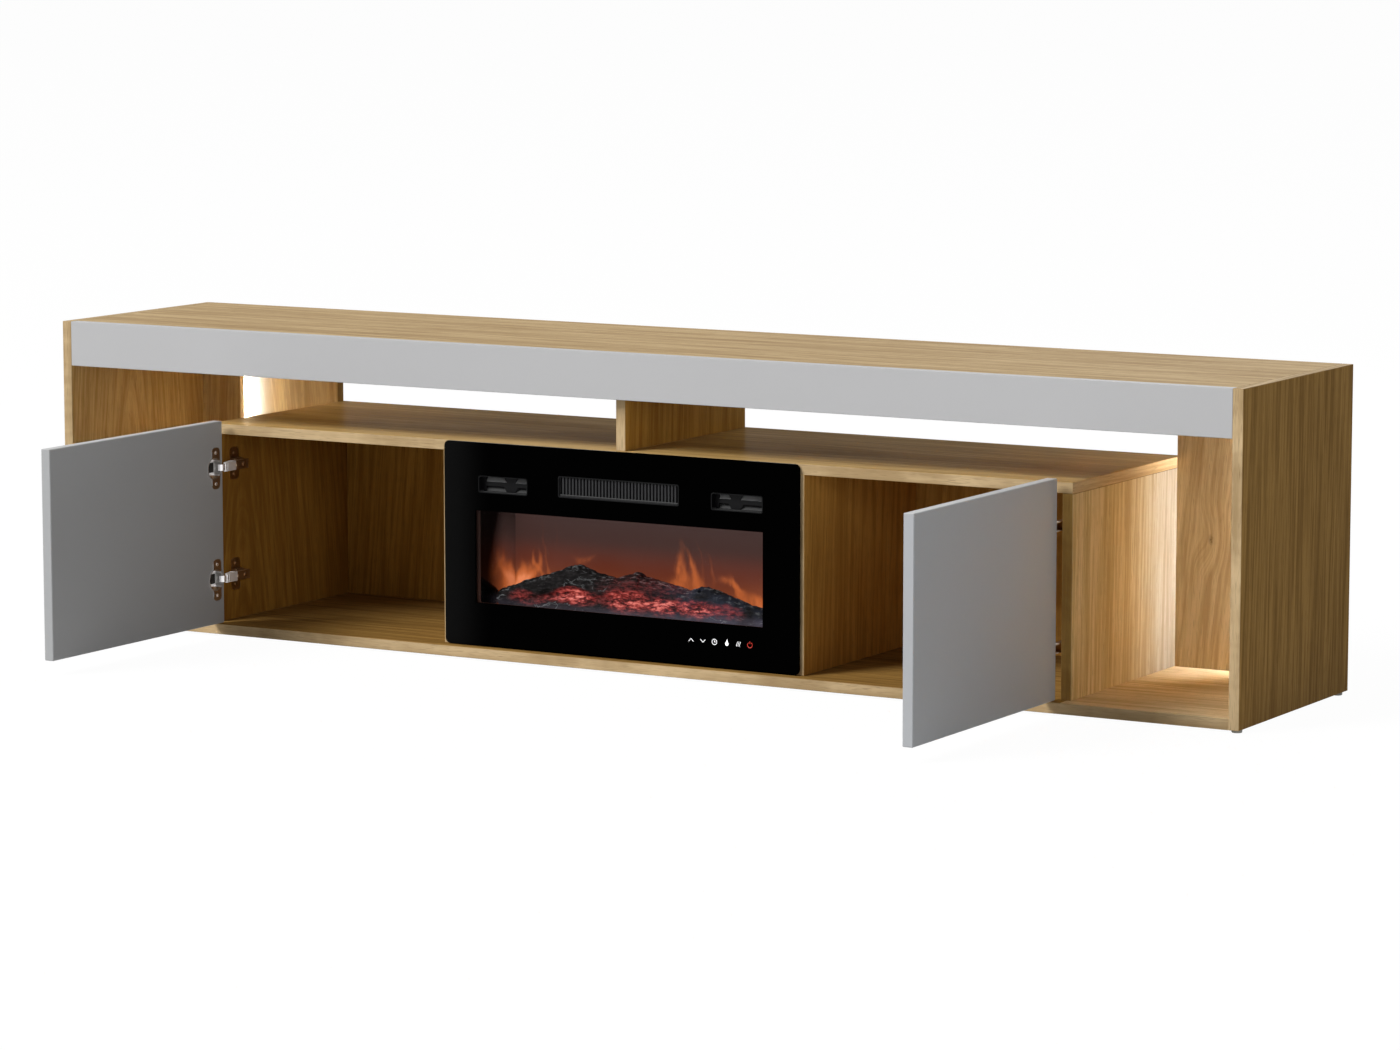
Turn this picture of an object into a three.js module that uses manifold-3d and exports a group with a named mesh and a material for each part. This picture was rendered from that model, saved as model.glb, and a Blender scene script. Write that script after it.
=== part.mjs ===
// Fireplace TV stand, in millimetres. X runs to the right from the middle, Y to the back from the front
// plane and Z up from the floor. Both doors stand open at a right angle. The right half is drawn, and the
// left half is its mirror image.
import * as THREE from 'three';
import { ConvexGeometry } from 'three/addons/geometries/ConvexGeometry.js';
import { mergeVertices } from 'three/addons/utils/BufferGeometryUtils.js';
import Module from 'manifold-3d';

const wasm = await Module();
wasm.setup();

// Carcass
const overallWidth = 2000;
const carcassDepth = 385;
const sideHeight = 471;
const boardThickness = 16;
const edgeEase = 0.6;
const fasciaHeight = 69;
const fasciaThickness = 16;
const cabinetSetback = 22; // front edges of the shelf, cabinet sides and partitions, behind the front plane
const cabinetClearHeight = 292;
const nicheWidth = 249;
const fireBayWidth = 585;
const dividerFrontSetback = 24;
const dividerBackSetback = 5;

// Glides
const footHeight = 4;
const footRadius = 7.5;
const footFrontInset = 12;
const footBackInset = 20;
const middleFootRadius = 20;
const footChamfer = 0.8;

// Niche light
const ledCoverWidth = 74;
const ledCoverThickness = 12;
const ledCoverToBack = 11;
const ledStripWidth = 12;
const ledStripDepth = 7;
const ledStripWall = 1;
const ledStripInset = 6; // from the free edge of the cover
const ledStripEndGap = 4;

// Doors
const doorThickness = 16;
const doorEdgeEase = 1;
const doorReveal = 1; // cabinet side left showing past the hinge edge when shut
const doorGlassGap = 1.5;
const doorFloorGap = 2;
const doorTopRise = 6.5; // above the shelf
const doorBackGap = 2;
const axisFromEdge = 8.75; // effective axis of the concealed hinge, from the door's hinge edge
const axisFromInnerFace = 22.75;
const lowerHingeRise = 68.5; // from the door's lower edge
const upperHingeDrop = 71.5; // from the door's upper edge

// Hinge cup
const cupRadius = 17.5;
const cupWall = 1;
const cupFloor = 0.8;
const cupDepth = 12;
const cupFromEdge = 21.5;
const cupBoreClearance = 0.3;
const cupRimRadius = 18.2;
const cupFlangeHeight = 64;
const cupFlangeWidth = 20;
const cupFlangeThickness = 1;
const cupFlangeFromEdge = 18;
const cupFlangeCorner = 7;
const cupScrewPitch = 48;
const cupScrewRadius = 2.6;
const cupScrewHead = 0.8;
const cupNotchWidth = 11; // gap in the cup's wall that the link passes through
const cupNotchDepth = 3.8; // below the door's inner face

// Hinge arm and its mounting plate, measured from the cabinet side's inner face and its front edge
const armTop = 20;
const armBottom = 10;
const armHeight = 14;
const armWall = 1.5;
const armRearSetback = 48;
const armWaistSetback = 9;
const armTopWallStart = 3.6; // behind the pivot
const armScrewRadius = 3.2;
const armScrewHead = 1.2;
const armScrewSetbacks = [18, 36];
const pivotStandOff = 17;
const pivotReach = 9.5; // ahead of the cabinet's front edge
const pivotBossRadius = 2.8;
const pivotPinRadius = 1.2;
const mountPlateHeight = 50;
const mountPlateWidth = 22;
const mountPlateThickness = 1.5;
const mountPlateSetback = 37;
const mountPlateCorner = 6;
const mountBlockHeight = 17;
const mountScrewPitch = 32;
const mountScrewRadius = 3.4;
const mountScrewHead = 1.4;

// Hinge link
const linkLength = 14.8;
const linkThickness = 1.6;
const linkHeight = 9.6;
const linkBulge = 5;
const linkEyeRadius = 2.6;
const linkPinClearance = 0.3;
const linkRestAngle = -77.7; // degrees from +X on the right door
const linkSteps = 8;
const linkLengthShares = [0, 0.15, 0.3, 0.45, 0.6, 0.7, 0.8, 0.9, 1];
const linkBulgeShares = [0, 0.28, 0.6, 0.87, 1, 0.97, 0.81, 0.5, 0];

// Fireplace front
const seatGap = 0.3; // between pieces that seat on each other without touching
const glassWidth = 606;
const glassHeight = 306.5;
const glassThickness = 4;
const glassCorner = 8;
const glassFloorGap = 1;
const frontPlateThickness = 1.2;
const frontPlateInset = 3;
const windowWidth = 486;
const windowHeight = 139;
const windowRise = 65; // this rise and the next ones are from the glass's lower edge
const outletWidth = 207;
const outletHeight = 32.5;
const outletRise = 232.5;
const cutoutCorner = 3;
const grilleProud = 0.5;
const grilleDepth = 14;
const grilleRim = 1.6;
const grilleFlange = 4;
const grilleFlangeThickness = 1.2;
const grilleBars = 35;
const grilleBarWidth = 2.6;
const grilleBarDepth = 6;
const grilleBarSetback = 2.5;
const grilleLipHeight = 4.5;
const ventWidth = 86.5;
const ventHeight = 26;
const ventRise = 231;
const ventCentre = 200;
const ventRim = 1.2;
const ventRecess = 11; // from the glass's front to the slotted face
const ventFaceThickness = 1.5;
const ventFaceSeat = 0.8; // share of the rim that the slotted face leaves free around it
const ventRows = 2;
const ventRowPitch = 14;
const ventSlotHeight = 7.6;
const ventLongSlot = 35.5;
const ventShortSlot = 20.5;
const ventWeb = 15; // between the long and the short slot, at their lower edges
const ventFlare = 5; // how far the slots' inner ends lean back at their upper corners
const ventBladeThickness = 1.2;
const ventBladeDepth = 5;
const ventBladeLift = 6; // how far a blade climbs towards the back

// Firebox
const bodyWidth = 560;
const bodyHeight = 285;
const bodyDepth = 150;
const bodyWall = 1.2;
const chamberDepth = 80;
const chamberFloorRise = 56;
const chamberRoofRise = 216;
const cheekFrontHalf = 246;
const cheekBackHalf = 232;
const screenThickness = 3;
const screenOverlap = 6;
const screenEase = 0.75;
const backSlotCount = 14;
const backSlotWidth = 4;
const backSlotHeight = 40;
const backSlotPitch = 12;
const backSlotDrop = 22;

// Blower and heater
const wheelRadius = 20;
const wheelInnerRadius = 14.5;
const wheelLength = 190;
const wheelDiscThickness = 1.5;
const wheelBlades = 16;
const wheelBladeThickness = 1;
const wheelBladeLean = 20; // degrees
const shaftRadius = 2.5;
const shaftClearance = 0.3;
const scrollClearance = 4.5;
const scrollGrowth = 3;
const housingWall = 1.5;
const housingEndGap = 3;
const housingFront = 14; // behind the firebox's front edge
const wheelSetback = 73;
const scrollStartAngle = 15; // degrees, from straight back, downwards
const scrollEndAngle = 128;
const scrollSteps = 12;
const tongueAngle = 38; // degrees, from straight forward, upwards
const tongueGap = 2.5;
const endPlateAngles = [45, 100]; // degrees, where the end plates close over the wheel's intake
const blowerMotorRadius = 17;
const blowerMotorLength = 28;
const blowerMotorGap = 4;
const motorFootWidth = 22;
const heaterDepth = 12;
const heaterSetback = 22;
const heaterColumns = 14;
const heaterRows = 2;
const heaterFin = 1.2;
const heaterRim = 3;

// Flame projector
const spindleRise = 38;
const spindleSetback = 112;
const spindleRodRadius = 2.5;
const spindlePaddleCount = 12;
const spindlePaddleReach = 12;
const spindlePaddleWidth = 26;
const spindlePaddleThickness = 1;
const spindlePaddleTurn = 55; // degrees from one paddle to the next
const postWidth = 26;
const postThickness = 2;
const spindleMotorRadius = 13;
const spindleMotorLength = 20;
const spindleMotorEndGap = 22.8; // between the motor and the firebox's side
const lightBoardLength = 420;
const lightBoardWidth = 18;
const lightBoardThickness = 1.6;
const lightBoardSetback = 88;
const lightBoardRise = 5;
const lightStandoffRadius = 3;
const lightStandoffShares = [-0.45, 0, 0.45]; // of the board's length, from its middle
const lightCount = 12;
const lightSize = 5;
const lightHeight = 1.5;
const touchBoardWidth = 124;
const touchBoardHeight = 26;
const touchBoardThickness = 1.6;
const touchCentre = 173;
const touchRise = 38;
const touchWindowWidth = 112;
const touchWindowHeight = 14;
const touchChipWidth = 12;
const touchChipDepth = 2;
const touchChipShares = [-0.25, 0.25]; // of the board's width, from its middle
const inletWidth = 27;
const inletHeight = 20;
const inletCorner = 4;
const inletDepth = 20;
const inletFlange = 4;
const inletFlangeThickness = 2.4;
const inletWall = 3;
const inletPinRadius = 1.5;
const inletPinPitch = 7;
const inletPinFloor = 5;
const inletCentre = 215;
const inletRise = 42;

// Log bed
const bedHalfWidth = 231;
const bedDepth = 58;
const bedThickness = 8;
const bedFrontSetback = 8;
const bedSwell = 5;
const bedRippleShare = 0.4; // of the swell
const bedRippleTurns = [31, 17, 9]; // radians across half the bed, twice, and over its depth
const bedSegmentsAcross = 18;
const bedSegmentsDeep = 3;
const logSides = 8;
const logSteps = 5;
const logBark = 0.9;
const logKinks = 5;
const bankShoulder = 1.3; // how far the embers heaped under a log reach out past it at its middle
const bankSpread = 4; // the same at their foot
const logRadius = 13;
const pileHeight = 66; // from the bed's underside to the highest log's middle
// Each log's two ends: across as a share of half the bed, back as a share of its depth and up as a share
// of the pile, then each end's radius as a share of the largest
const logShares = [
  { start: [-0.98, 0.45, 0.3], end: [-0.35, 0.41, 0.97], radii: [0.85, 1] },
  { start: [-0.45, 0.59, 0.4], end: [0.03, 0.52, 0.87], radii: [0.92, 1] },
  { start: [-0.05, 0.62, 0.78], end: [0.42, 0.6, 0.58], radii: [0.85, 0.92] },
  { start: [0.47, 0.52, 0.74], end: [0.97, 0.59, 0.22], radii: [1, 0.85] },
  { start: [-0.81, 0.21, 0.15], end: [0.06, 0.21, 0.24], radii: [0.7, 0.85] },
  { start: [0.1, 0.21, 0.18], end: [0.82, 0.24, 0.12], radii: [0.85, 0.7] },
];

const overrun = 1; // how far a cutter passes the faces that it opens
const curveSegments = 2;
const fineSides = 24;
const plainSides = 10;

// Heights and places that follow from the sizes above
const sideTop = footHeight + sideHeight;
const floorTop = footHeight + boardThickness;
const shelfBottom = floorTop + cabinetClearHeight;
const shelfTop = shelfBottom + boardThickness;
const topBottom = sideTop - boardThickness;
const sideOuter = overallWidth / 2;
const sideInner = sideOuter - boardThickness;
const cabinetOuter = sideInner - nicheWidth;
const cabinetInner = cabinetOuter - boardThickness;
const bayHalf = fireBayWidth / 2;
const partitionOuter = bayHalf + boardThickness;
const backFront = carcassDepth - boardThickness;

const doorHingeEdge = cabinetOuter - doorReveal;
const doorFreeEdge = glassWidth / 2 + doorGlassGap;
const doorWidth = doorHingeEdge - doorFreeEdge;
const doorBottom = floorTop + doorFloorGap;
const doorTop = shelfTop + doorTopRise;
const axisX = doorHingeEdge - axisFromEdge;
const axisY = cabinetSetback - doorBackGap - axisFromInnerFace;
const hingeHeights = { lower: doorBottom + lowerHingeRise, upper: doorTop - upperHingeDrop };

const frontPlateBack = cabinetSetback - seatGap;
const frontPlateFront = frontPlateBack - frontPlateThickness;
const glassBack = frontPlateFront - seatGap;
const glassFront = glassBack - glassThickness;
const glassBottom = floorTop + glassFloorGap;
const bodyBottom = floorTop + seatGap;
const bodyFront = cabinetSetback;
const bodyBack = bodyFront + bodyDepth;
const chamberFloor = bodyBottom + chamberFloorRise;
const chamberRoof = bodyBottom + chamberRoofRise;
const chamberBack = bodyFront + chamberDepth;
const postHalf = bodyWidth / 2 - bodyWall - spindleMotorEndGap - spindleMotorLength;

const colours = {
  oak: { color: 0xb98f5c, roughness: 0.6 },
  grey: { color: 0x757575, roughness: 0.5 },
  paleGrey: { color: 0xb9b9b9, roughness: 0.5 },
  plastic: { color: 0x8a8a8a, roughness: 0.6 },
  blackPlastic: { color: 0x181818, roughness: 0.5 },
  blackSteel: { color: 0x1c1c1c, roughness: 0.5, metalness: 0.3 },
  nickel: { color: 0xbdb6a8, roughness: 0.3, metalness: 1 },
  steel: { color: 0x9a9a9a, roughness: 0.4, metalness: 1 },
  blackGlass: { color: 0x050505, roughness: 0.06 },
  diffuser: { color: 0xfff1dc, roughness: 0.5 },
  screen: { color: 0x3a2018, roughness: 0.4 },
  logs: { color: 0x5a3524, roughness: 0.9 },
  circuit: { color: 0x1e5a34, roughness: 0.5 },
  brass: { color: 0xb08d3c, roughness: 0.35, metalness: 1 },
};
const finishes = {};
for (const [name, values] of Object.entries(colours)) {
  finishes[name] = new THREE.MeshStandardMaterial(values);
}

// Solid modelling helpers

function solid(geometry) {
  const bare = new THREE.BufferGeometry();
  bare.setAttribute('position', geometry.getAttribute('position'));
  bare.setIndex(geometry.getIndex());
  const welded = mergeVertices(bare);
  return new wasm.Manifold(new wasm.Mesh({
    numProp: 3,
    vertProperties: new Float32Array(welded.getAttribute('position').array),
    triVerts: new Uint32Array(welded.getIndex().array),
  }));
}

function faceted(manifold) {
  const { vertProperties, triVerts } = manifold.getMesh();
  const geometry = new THREE.BufferGeometry();
  geometry.setAttribute('position', new THREE.BufferAttribute(vertProperties, 3));
  geometry.setIndex(new THREE.BufferAttribute(triVerts, 1));
  const flat = geometry.toNonIndexed();
  flat.computeVertexNormals();
  return flat;
}

function join(geometries) {
  return faceted(geometries.map(solid).reduce((whole, piece) => whole.add(piece)));
}

function cut(geometry, cutters) {
  return faceted(cutters.map(solid).reduce((rest, cutter) => rest.subtract(cutter), solid(geometry)));
}

function block(low, high) {
  const corners = [];
  for (const x of [low[0], high[0]]) {
    for (const y of [low[1], high[1]]) {
      for (const z of [low[2], high[2]]) corners.push(new THREE.Vector3(x, y, z));
    }
  }
  return new ConvexGeometry(corners);
}

// A block whose twelve edges are eased by a small flat
function easedBlock(low, high, ease) {
  const points = [];
  for (const x of [1, -1]) {
    for (const y of [1, -1]) {
      for (const z of [1, -1]) {
        const corner = [x, y, z].map((way, axis) => (way > 0 ? low[axis] : high[axis]));
        for (const kept of [0, 1, 2]) {
          const point = corner.map((at, axis) => (axis === kept ? at : at + ease * [x, y, z][axis]));
          points.push(new THREE.Vector3(...point));
        }
      }
    }
  }
  return new ConvexGeometry(points);
}

function rod(start, end, radius, sides = plainSides) {
  const from = new THREE.Vector3(...start);
  const along = new THREE.Vector3(...end).sub(from);
  const geometry = new THREE.CylinderGeometry(radius, radius, along.length(), sides);
  geometry.translate(0, along.length() / 2, 0);
  const turn = new THREE.Quaternion().setFromUnitVectors(new THREE.Vector3(0, 1, 0), along.normalize());
  geometry.applyQuaternion(turn);
  return geometry.translate(from.x, from.y, from.z);
}

const xWay = new THREE.Vector3(1, 0, 0);
const yWay = new THREE.Vector3(0, 1, 0);
const zWay = new THREE.Vector3(0, 0, 1);
const drawnOnPlan = new THREE.Matrix4();
const drawnOnSide = new THREE.Matrix4().makeBasis(yWay, zWay, xWay);
const drawnOnFront = new THREE.Matrix4().makeBasis(xWay, zWay, yWay.clone().negate());

function extrude(outline, from, to, drawing) {
  const depth = to - from;
  const geometry = new THREE.ExtrudeGeometry(outline, { depth, bevelEnabled: false, curveSegments });
  geometry.translate(0, 0, from);
  return geometry.applyMatrix4(drawing);
}

// Outline in X and Y, raised along Z
function extrudeUp(outline, low, high) {
  return extrude(outline, low, high, drawnOnPlan);
}

// Outline in Y and Z, run along X
function extrudeAcross(outline, left, right) {
  return extrude(outline, left, right, drawnOnSide);
}

// Outline in X and Z, run along Y
function extrudeBack(outline, front, back) {
  return extrude(outline, -back, -front, drawnOnFront);
}

function polygon(points) {
  return new THREE.Shape(points.map(([a, b]) => new THREE.Vector2(a, b)));
}

function roundedRectangle(centre, size, corner, Kind = THREE.Shape) {
  const [a, b] = centre;
  const [halfA, halfB] = [size[0] / 2, size[1] / 2];
  const outline = new Kind();
  outline.moveTo(a + halfA, b - halfB + corner);
  outline.absarc(a + halfA - corner, b + halfB - corner, corner, 0, Math.PI / 2);
  outline.absarc(a - halfA + corner, b + halfB - corner, corner, Math.PI / 2, Math.PI);
  outline.absarc(a - halfA + corner, b - halfB + corner, corner, Math.PI, Math.PI * 1.5);
  outline.absarc(a + halfA - corner, b - halfB + corner, corner, Math.PI * 1.5, Math.PI * 2);
  return outline;
}

function named(name, geometry, finish) {
  const mesh = new THREE.Mesh(geometry, finish);
  mesh.name = name;
  return mesh;
}

function board(name, low, high, finish = finishes.oak, ease = edgeEase) {
  return named(name, easedBlock(low, high, ease), finish);
}

// Carcass boards that cross the middle

function makeCentre() {
  const group = new THREE.Group();
  const dividerBack = carcassDepth - dividerBackSetback;
  group.add(
    board('top_board', [-sideInner, fasciaThickness, topBottom], [sideInner, carcassDepth, sideTop]),
    board('bottom_board', [-sideInner, 0, footHeight], [sideInner, carcassDepth, floorTop]),
    board('front_fascia', [-sideInner, 0, sideTop - fasciaHeight], [sideInner, fasciaThickness, sideTop],
      finishes.paleGrey),
    board('shelf_board', [-cabinetOuter, cabinetSetback, shelfBottom],
      [cabinetOuter, carcassDepth, shelfTop]),
    board('centre_divider', [-boardThickness / 2, dividerFrontSetback, shelfTop],
      [boardThickness / 2, dividerBack, topBottom]),
    glide('middle_foot', 0, carcassDepth / 2, middleFootRadius),
  );
  return group;
}

function glide(name, x, y, radius) {
  const profile = [[0, 0], [radius - footChamfer, 0], [radius, footChamfer], [radius, footHeight],
    [0, footHeight]].map(([r, z]) => new THREE.Vector2(r, z));
  const geometry = new THREE.LatheGeometry(profile, fineSides);
  geometry.rotateX(Math.PI / 2);
  return named(name, geometry.translate(x, y, 0), finishes.plastic);
}

// Carcass boards, light and glides of one half

function makeSide(side) {
  const group = new THREE.Group();
  const coverBack = backFront - ledCoverToBack;
  const coverFree = sideInner - ledCoverWidth;
  group.add(
    board(`${side}_side_panel`, [sideInner, 0, footHeight], [sideOuter, carcassDepth, sideTop]),
    board(`${side}_cabinet_side`, [cabinetInner, cabinetSetback, floorTop],
      [cabinetOuter, carcassDepth, shelfBottom]),
    board(`${side}_partition`, [bayHalf, cabinetSetback, floorTop],
      [partitionOuter, carcassDepth, shelfBottom]),
    board(`${side}_compartment_back`, [partitionOuter, backFront, floorTop],
      [cabinetInner, carcassDepth, shelfBottom]),
    board(`${side}_niche_back`, [cabinetOuter, backFront, floorTop], [sideInner, carcassDepth, topBottom]),
    board(`${side}_led_cover`, [coverFree, coverBack - ledCoverThickness, floorTop],
      [sideInner, coverBack, topBottom]),
    makeLedStrip(`${side}_led_strip`, coverFree + ledStripInset, coverBack),
    glide(`${side}_front_foot`, sideOuter - boardThickness / 2, footFrontInset, footRadius),
    glide(`${side}_back_foot`, sideOuter - boardThickness / 2, carcassDepth - footBackInset, footRadius),
  );
  return group;
}

// Channel with a domed lens, its hollow open at both ends
function makeLedStrip(name, x, y) {
  const [right, back] = [x + ledStripWidth, y + ledStripDepth];
  const outline = new THREE.Shape();
  outline.moveTo(x, y);
  outline.lineTo(right, y);
  outline.lineTo(right, back - ledStripWall);
  outline.quadraticCurveTo(x + ledStripWidth / 2, back + ledStripWall, x, back - ledStripWall);
  const hollow = new THREE.Path();
  hollow.moveTo(x + ledStripWall, y + ledStripWall);
  hollow.lineTo(x + ledStripWall, back - ledStripWall * 2);
  hollow.lineTo(right - ledStripWall, back - ledStripWall * 2);
  hollow.lineTo(right - ledStripWall, y + ledStripWall);
  outline.holes.push(hollow);
  const strip = extrudeUp(outline, floorTop + ledStripEndGap, topBottom - ledStripEndGap);
  return named(name, strip, finishes.diffuser);
}

// Door with its two hinge cups. It is drawn shut, with the hinge axis at its origin

function makeDoor(side) {
  const group = new THREE.Group();
  const hingeEdge = axisFromEdge;
  const outerFace = axisFromInnerFace - doorThickness;
  const slab = easedBlock([hingeEdge - doorWidth, outerFace, doorBottom],
    [hingeEdge, axisFromInnerFace, doorTop], doorEdgeEase);
  const cupX = hingeEdge - cupFromEdge;
  const boreFloor = axisFromInnerFace - cupDepth - cupBoreClearance;
  const bores = Object.values(hingeHeights).map((height) => rod([cupX, boreFloor, height],
    [cupX, axisFromInnerFace + overrun, height], cupRadius + cupBoreClearance, fineSides));
  group.add(named(`${side}_door`, cut(slab, bores), finishes.grey));
  for (const [level, height] of Object.entries(hingeHeights)) {
    group.add(named(`${side}_${level}_hinge_cup`, makeCup(cupX, height), finishes.nickel));
  }
  group.position.set(axisX, axisY, 0);
  group.rotation.z = Math.PI / 2;
  return group;
}

// Pressed cup with its flange and two screws
function makeCup(x, height) {
  const face = axisFromInnerFace;
  const flangeFace = face + cupFlangeThickness;
  const flangeX = axisFromEdge - cupFlangeFromEdge;
  const flange = roundedRectangle([flangeX, height], [cupFlangeWidth, cupFlangeHeight], cupFlangeCorner);
  const screwHeights = [height - cupScrewPitch / 2, height + cupScrewPitch / 2];
  const shell = join([
    rod([x, face - cupDepth, height], [x, flangeFace, height], cupRadius, fineSides),
    rod([x, face, height], [x, flangeFace, height], cupRimRadius, fineSides),
    extrudeBack(flange, face, flangeFace),
    ...screwHeights.map((z) => rod([flangeX, face, z], [flangeX, flangeFace + cupScrewHead, z],
      cupScrewRadius)),
  ]);
  const hollow = rod([x, face - cupDepth + cupFloor, height], [x, flangeFace + overrun, height],
    cupRadius - cupWall, fineSides);
  const notch = block([x, face - cupNotchDepth, height - cupNotchWidth / 2],
    [x + cupRimRadius + overrun, flangeFace + overrun, height + cupNotchWidth / 2]);
  return cut(shell, [hollow, notch]);
}

// Mounting plates, arms and links of one half's two hinges

function makeHinges(side) {
  const group = new THREE.Group();
  for (const [level, height] of Object.entries(hingeHeights)) {
    group.add(
      named(`${side}_${level}_hinge_plate`, makeMountPlate(height), finishes.nickel),
      named(`${side}_${level}_hinge_arm`, makeArm(height), finishes.nickel),
    );
    const link = named(`${side}_${level}_hinge_link`, makeLink(height), finishes.nickel);
    link.position.set(cabinetInner - pivotStandOff, cabinetSetback - pivotReach, 0);
    link.rotation.z = THREE.MathUtils.degToRad(linkRestAngle);
    group.add(link);
  }
  return group;
}

// Winged plate against the cabinet side, with the raised block that the arm straddles and two screws
function makeMountPlate(height) {
  const middleY = cabinetSetback + mountPlateSetback;
  const wings = roundedRectangle([middleY, height], [mountPlateWidth, mountPlateHeight], mountPlateCorner);
  const wingFace = cabinetInner - mountPlateThickness;
  const blockTop = cabinetInner - armBottom + seatGap;
  const screwHeights = [height - mountScrewPitch / 2, height + mountScrewPitch / 2];
  return join([
    extrudeAcross(wings, wingFace, cabinetInner),
    easedBlock([blockTop, middleY - mountPlateWidth / 2, height - mountBlockHeight / 2],
      [wingFace, middleY + mountPlateWidth / 2, height + mountBlockHeight / 2], edgeEase),
    ...screwHeights.map((z) => rod([wingFace - mountScrewHead, middleY, z], [cabinetInner, middleY, z],
      mountScrewRadius)),
  ]);
}

// Channel with two cheeks that carry the pivot pin at their front ends, and two adjusting screws on top
function makeArm(height) {
  const pivotX = cabinetInner - pivotStandOff;
  const pivotY = cabinetSetback - pivotReach;
  const outerX = cabinetInner - armTop;
  const innerX = cabinetInner - armBottom;
  const rearY = cabinetSetback + armRearSetback;
  const cheek = new THREE.Shape();
  cheek.moveTo(innerX, rearY);
  cheek.lineTo(outerX, rearY);
  cheek.lineTo(outerX, pivotY + pivotBossRadius);
  cheek.lineTo(pivotX - pivotBossRadius, pivotY);
  cheek.absarc(pivotX, pivotY, pivotBossRadius, Math.PI, Math.PI * 2);
  cheek.lineTo(innerX, cabinetSetback + armWaistSetback);
  const half = armHeight / 2;
  const top = polygon([[outerX, pivotY + armTopWallStart], [outerX + armWall, pivotY + armTopWallStart],
    [outerX + armWall, rearY], [outerX, rearY]]);
  return join([
    extrudeUp(cheek, height - half, height - half + armWall),
    extrudeUp(cheek, height + half - armWall, height + half),
    extrudeUp(top, height - half, height + half),
    rod([pivotX, pivotY, height - half], [pivotX, pivotY, height + half], pivotPinRadius),
    ...armScrewSetbacks.map((setback) => rod([outerX - armScrewHead, cabinetSetback + setback, height],
      [outerX + armWall, cabinetSetback + setback, height], armScrewRadius)),
  ]);
}

// Goose-necked link, drawn along +X from the pin, with its bulge to -Y, away from the door
function makeLink(height) {
  const spine = new THREE.SplineCurve(linkLengthShares.map((share, index) =>
    new THREE.Vector2(share * linkLength, -linkBulgeShares[index] * linkBulge)));
  const near = [];
  const far = [];
  for (const share of Array.from({ length: linkSteps + 1 }, (_, step) => step / linkSteps)) {
    const at = spine.getPoint(share);
    const along = spine.getTangent(share);
    const aside = new THREE.Vector2(-along.y, along.x).multiplyScalar(linkThickness / 2);
    near.push([at.x - aside.x, at.y - aside.y]);
    far.unshift([at.x + aside.x, at.y + aside.y]);
  }
  const [low, high] = [height - linkHeight / 2, height + linkHeight / 2];
  const strap = join([
    extrudeUp(polygon([...near, ...far]), low, high),
    rod([0, 0, low], [0, 0, high], linkEyeRadius, fineSides),
  ]);
  return cut(strap, [rod([0, 0, low - overrun], [0, 0, high + overrun], pivotPinRadius + linkPinClearance)]);
}

// Fireplace front: glass, steel plate, outlet grille and vents

function frontOutline(inset) {
  const centre = [0, glassBottom + glassHeight / 2];
  const size = [glassWidth - inset * 2, glassHeight - inset * 2];
  return roundedRectangle(centre, size, glassCorner - inset);
}

function opening(centreX, rise, width, height, clearance = 0, Kind = THREE.Path) {
  const centre = [centreX, glassBottom + rise + height / 2];
  return roundedRectangle(centre, [width - clearance * 2, height - clearance * 2], cutoutCorner, Kind);
}

function airOpenings() {
  return [
    opening(0, outletRise, outletWidth, outletHeight),
    opening(-ventCentre, ventRise, ventWidth, ventHeight),
    opening(ventCentre, ventRise, ventWidth, ventHeight),
  ];
}

function makeGlass() {
  const outline = frontOutline(0);
  outline.holes.push(...airOpenings());
  return extrudeBack(outline, glassFront, glassBack);
}

function makeFrontPlate() {
  const outline = frontOutline(frontPlateInset);
  outline.holes.push(...airOpenings(), opening(0, windowRise, windowWidth, windowHeight),
    opening(touchCentre, touchRise - touchWindowHeight / 2, touchWindowWidth, touchWindowHeight));
  return extrudeBack(outline, frontPlateFront, frontPlateBack);
}

// Moulded frame with upright bars, a lip along its lower edge and a flange behind the plate
function makeGrille() {
  const front = glassFront - grilleProud;
  const back = front + grilleDepth;
  const flangeFront = frontPlateBack + seatGap;
  const outer = opening(0, outletRise, outletWidth, outletHeight, seatGap, THREE.Shape);
  outer.holes.push(opening(0, outletRise, outletWidth, outletHeight, seatGap + grilleRim));
  const flange = opening(0, outletRise, outletWidth, outletHeight, -grilleFlange, THREE.Shape);
  flange.holes.push(opening(0, outletRise, outletWidth, outletHeight, seatGap + grilleRim));
  const low = glassBottom + outletRise + seatGap;
  const high = glassBottom + outletRise + outletHeight - seatGap;
  const span = outletWidth - (seatGap + grilleRim) * 2;
  const pitch = span / (grilleBars + 1);
  const barFront = front + grilleBarSetback;
  const bars = Array.from({ length: grilleBars }, (_, index) => {
    const x = (index + 1) * pitch - span / 2;
    return block([x - grilleBarWidth / 2, barFront, low + grilleRim / 2],
      [x + grilleBarWidth / 2, barFront + grilleBarDepth, high - grilleRim / 2]);
  });
  const lip = polygon([[front, low], [back, low], [back, low + grilleRim],
    [barFront + grilleBarDepth, low + grilleLipHeight], [barFront, low + grilleLipHeight],
    [front, low + grilleRim]]);
  return join([
    extrudeBack(outer, front, back),
    extrudeBack(flange, flangeFront, flangeFront + grilleFlangeThickness),
    extrudeAcross(lip, -span / 2, span / 2),
    ...bars,
  ]);
}

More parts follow.
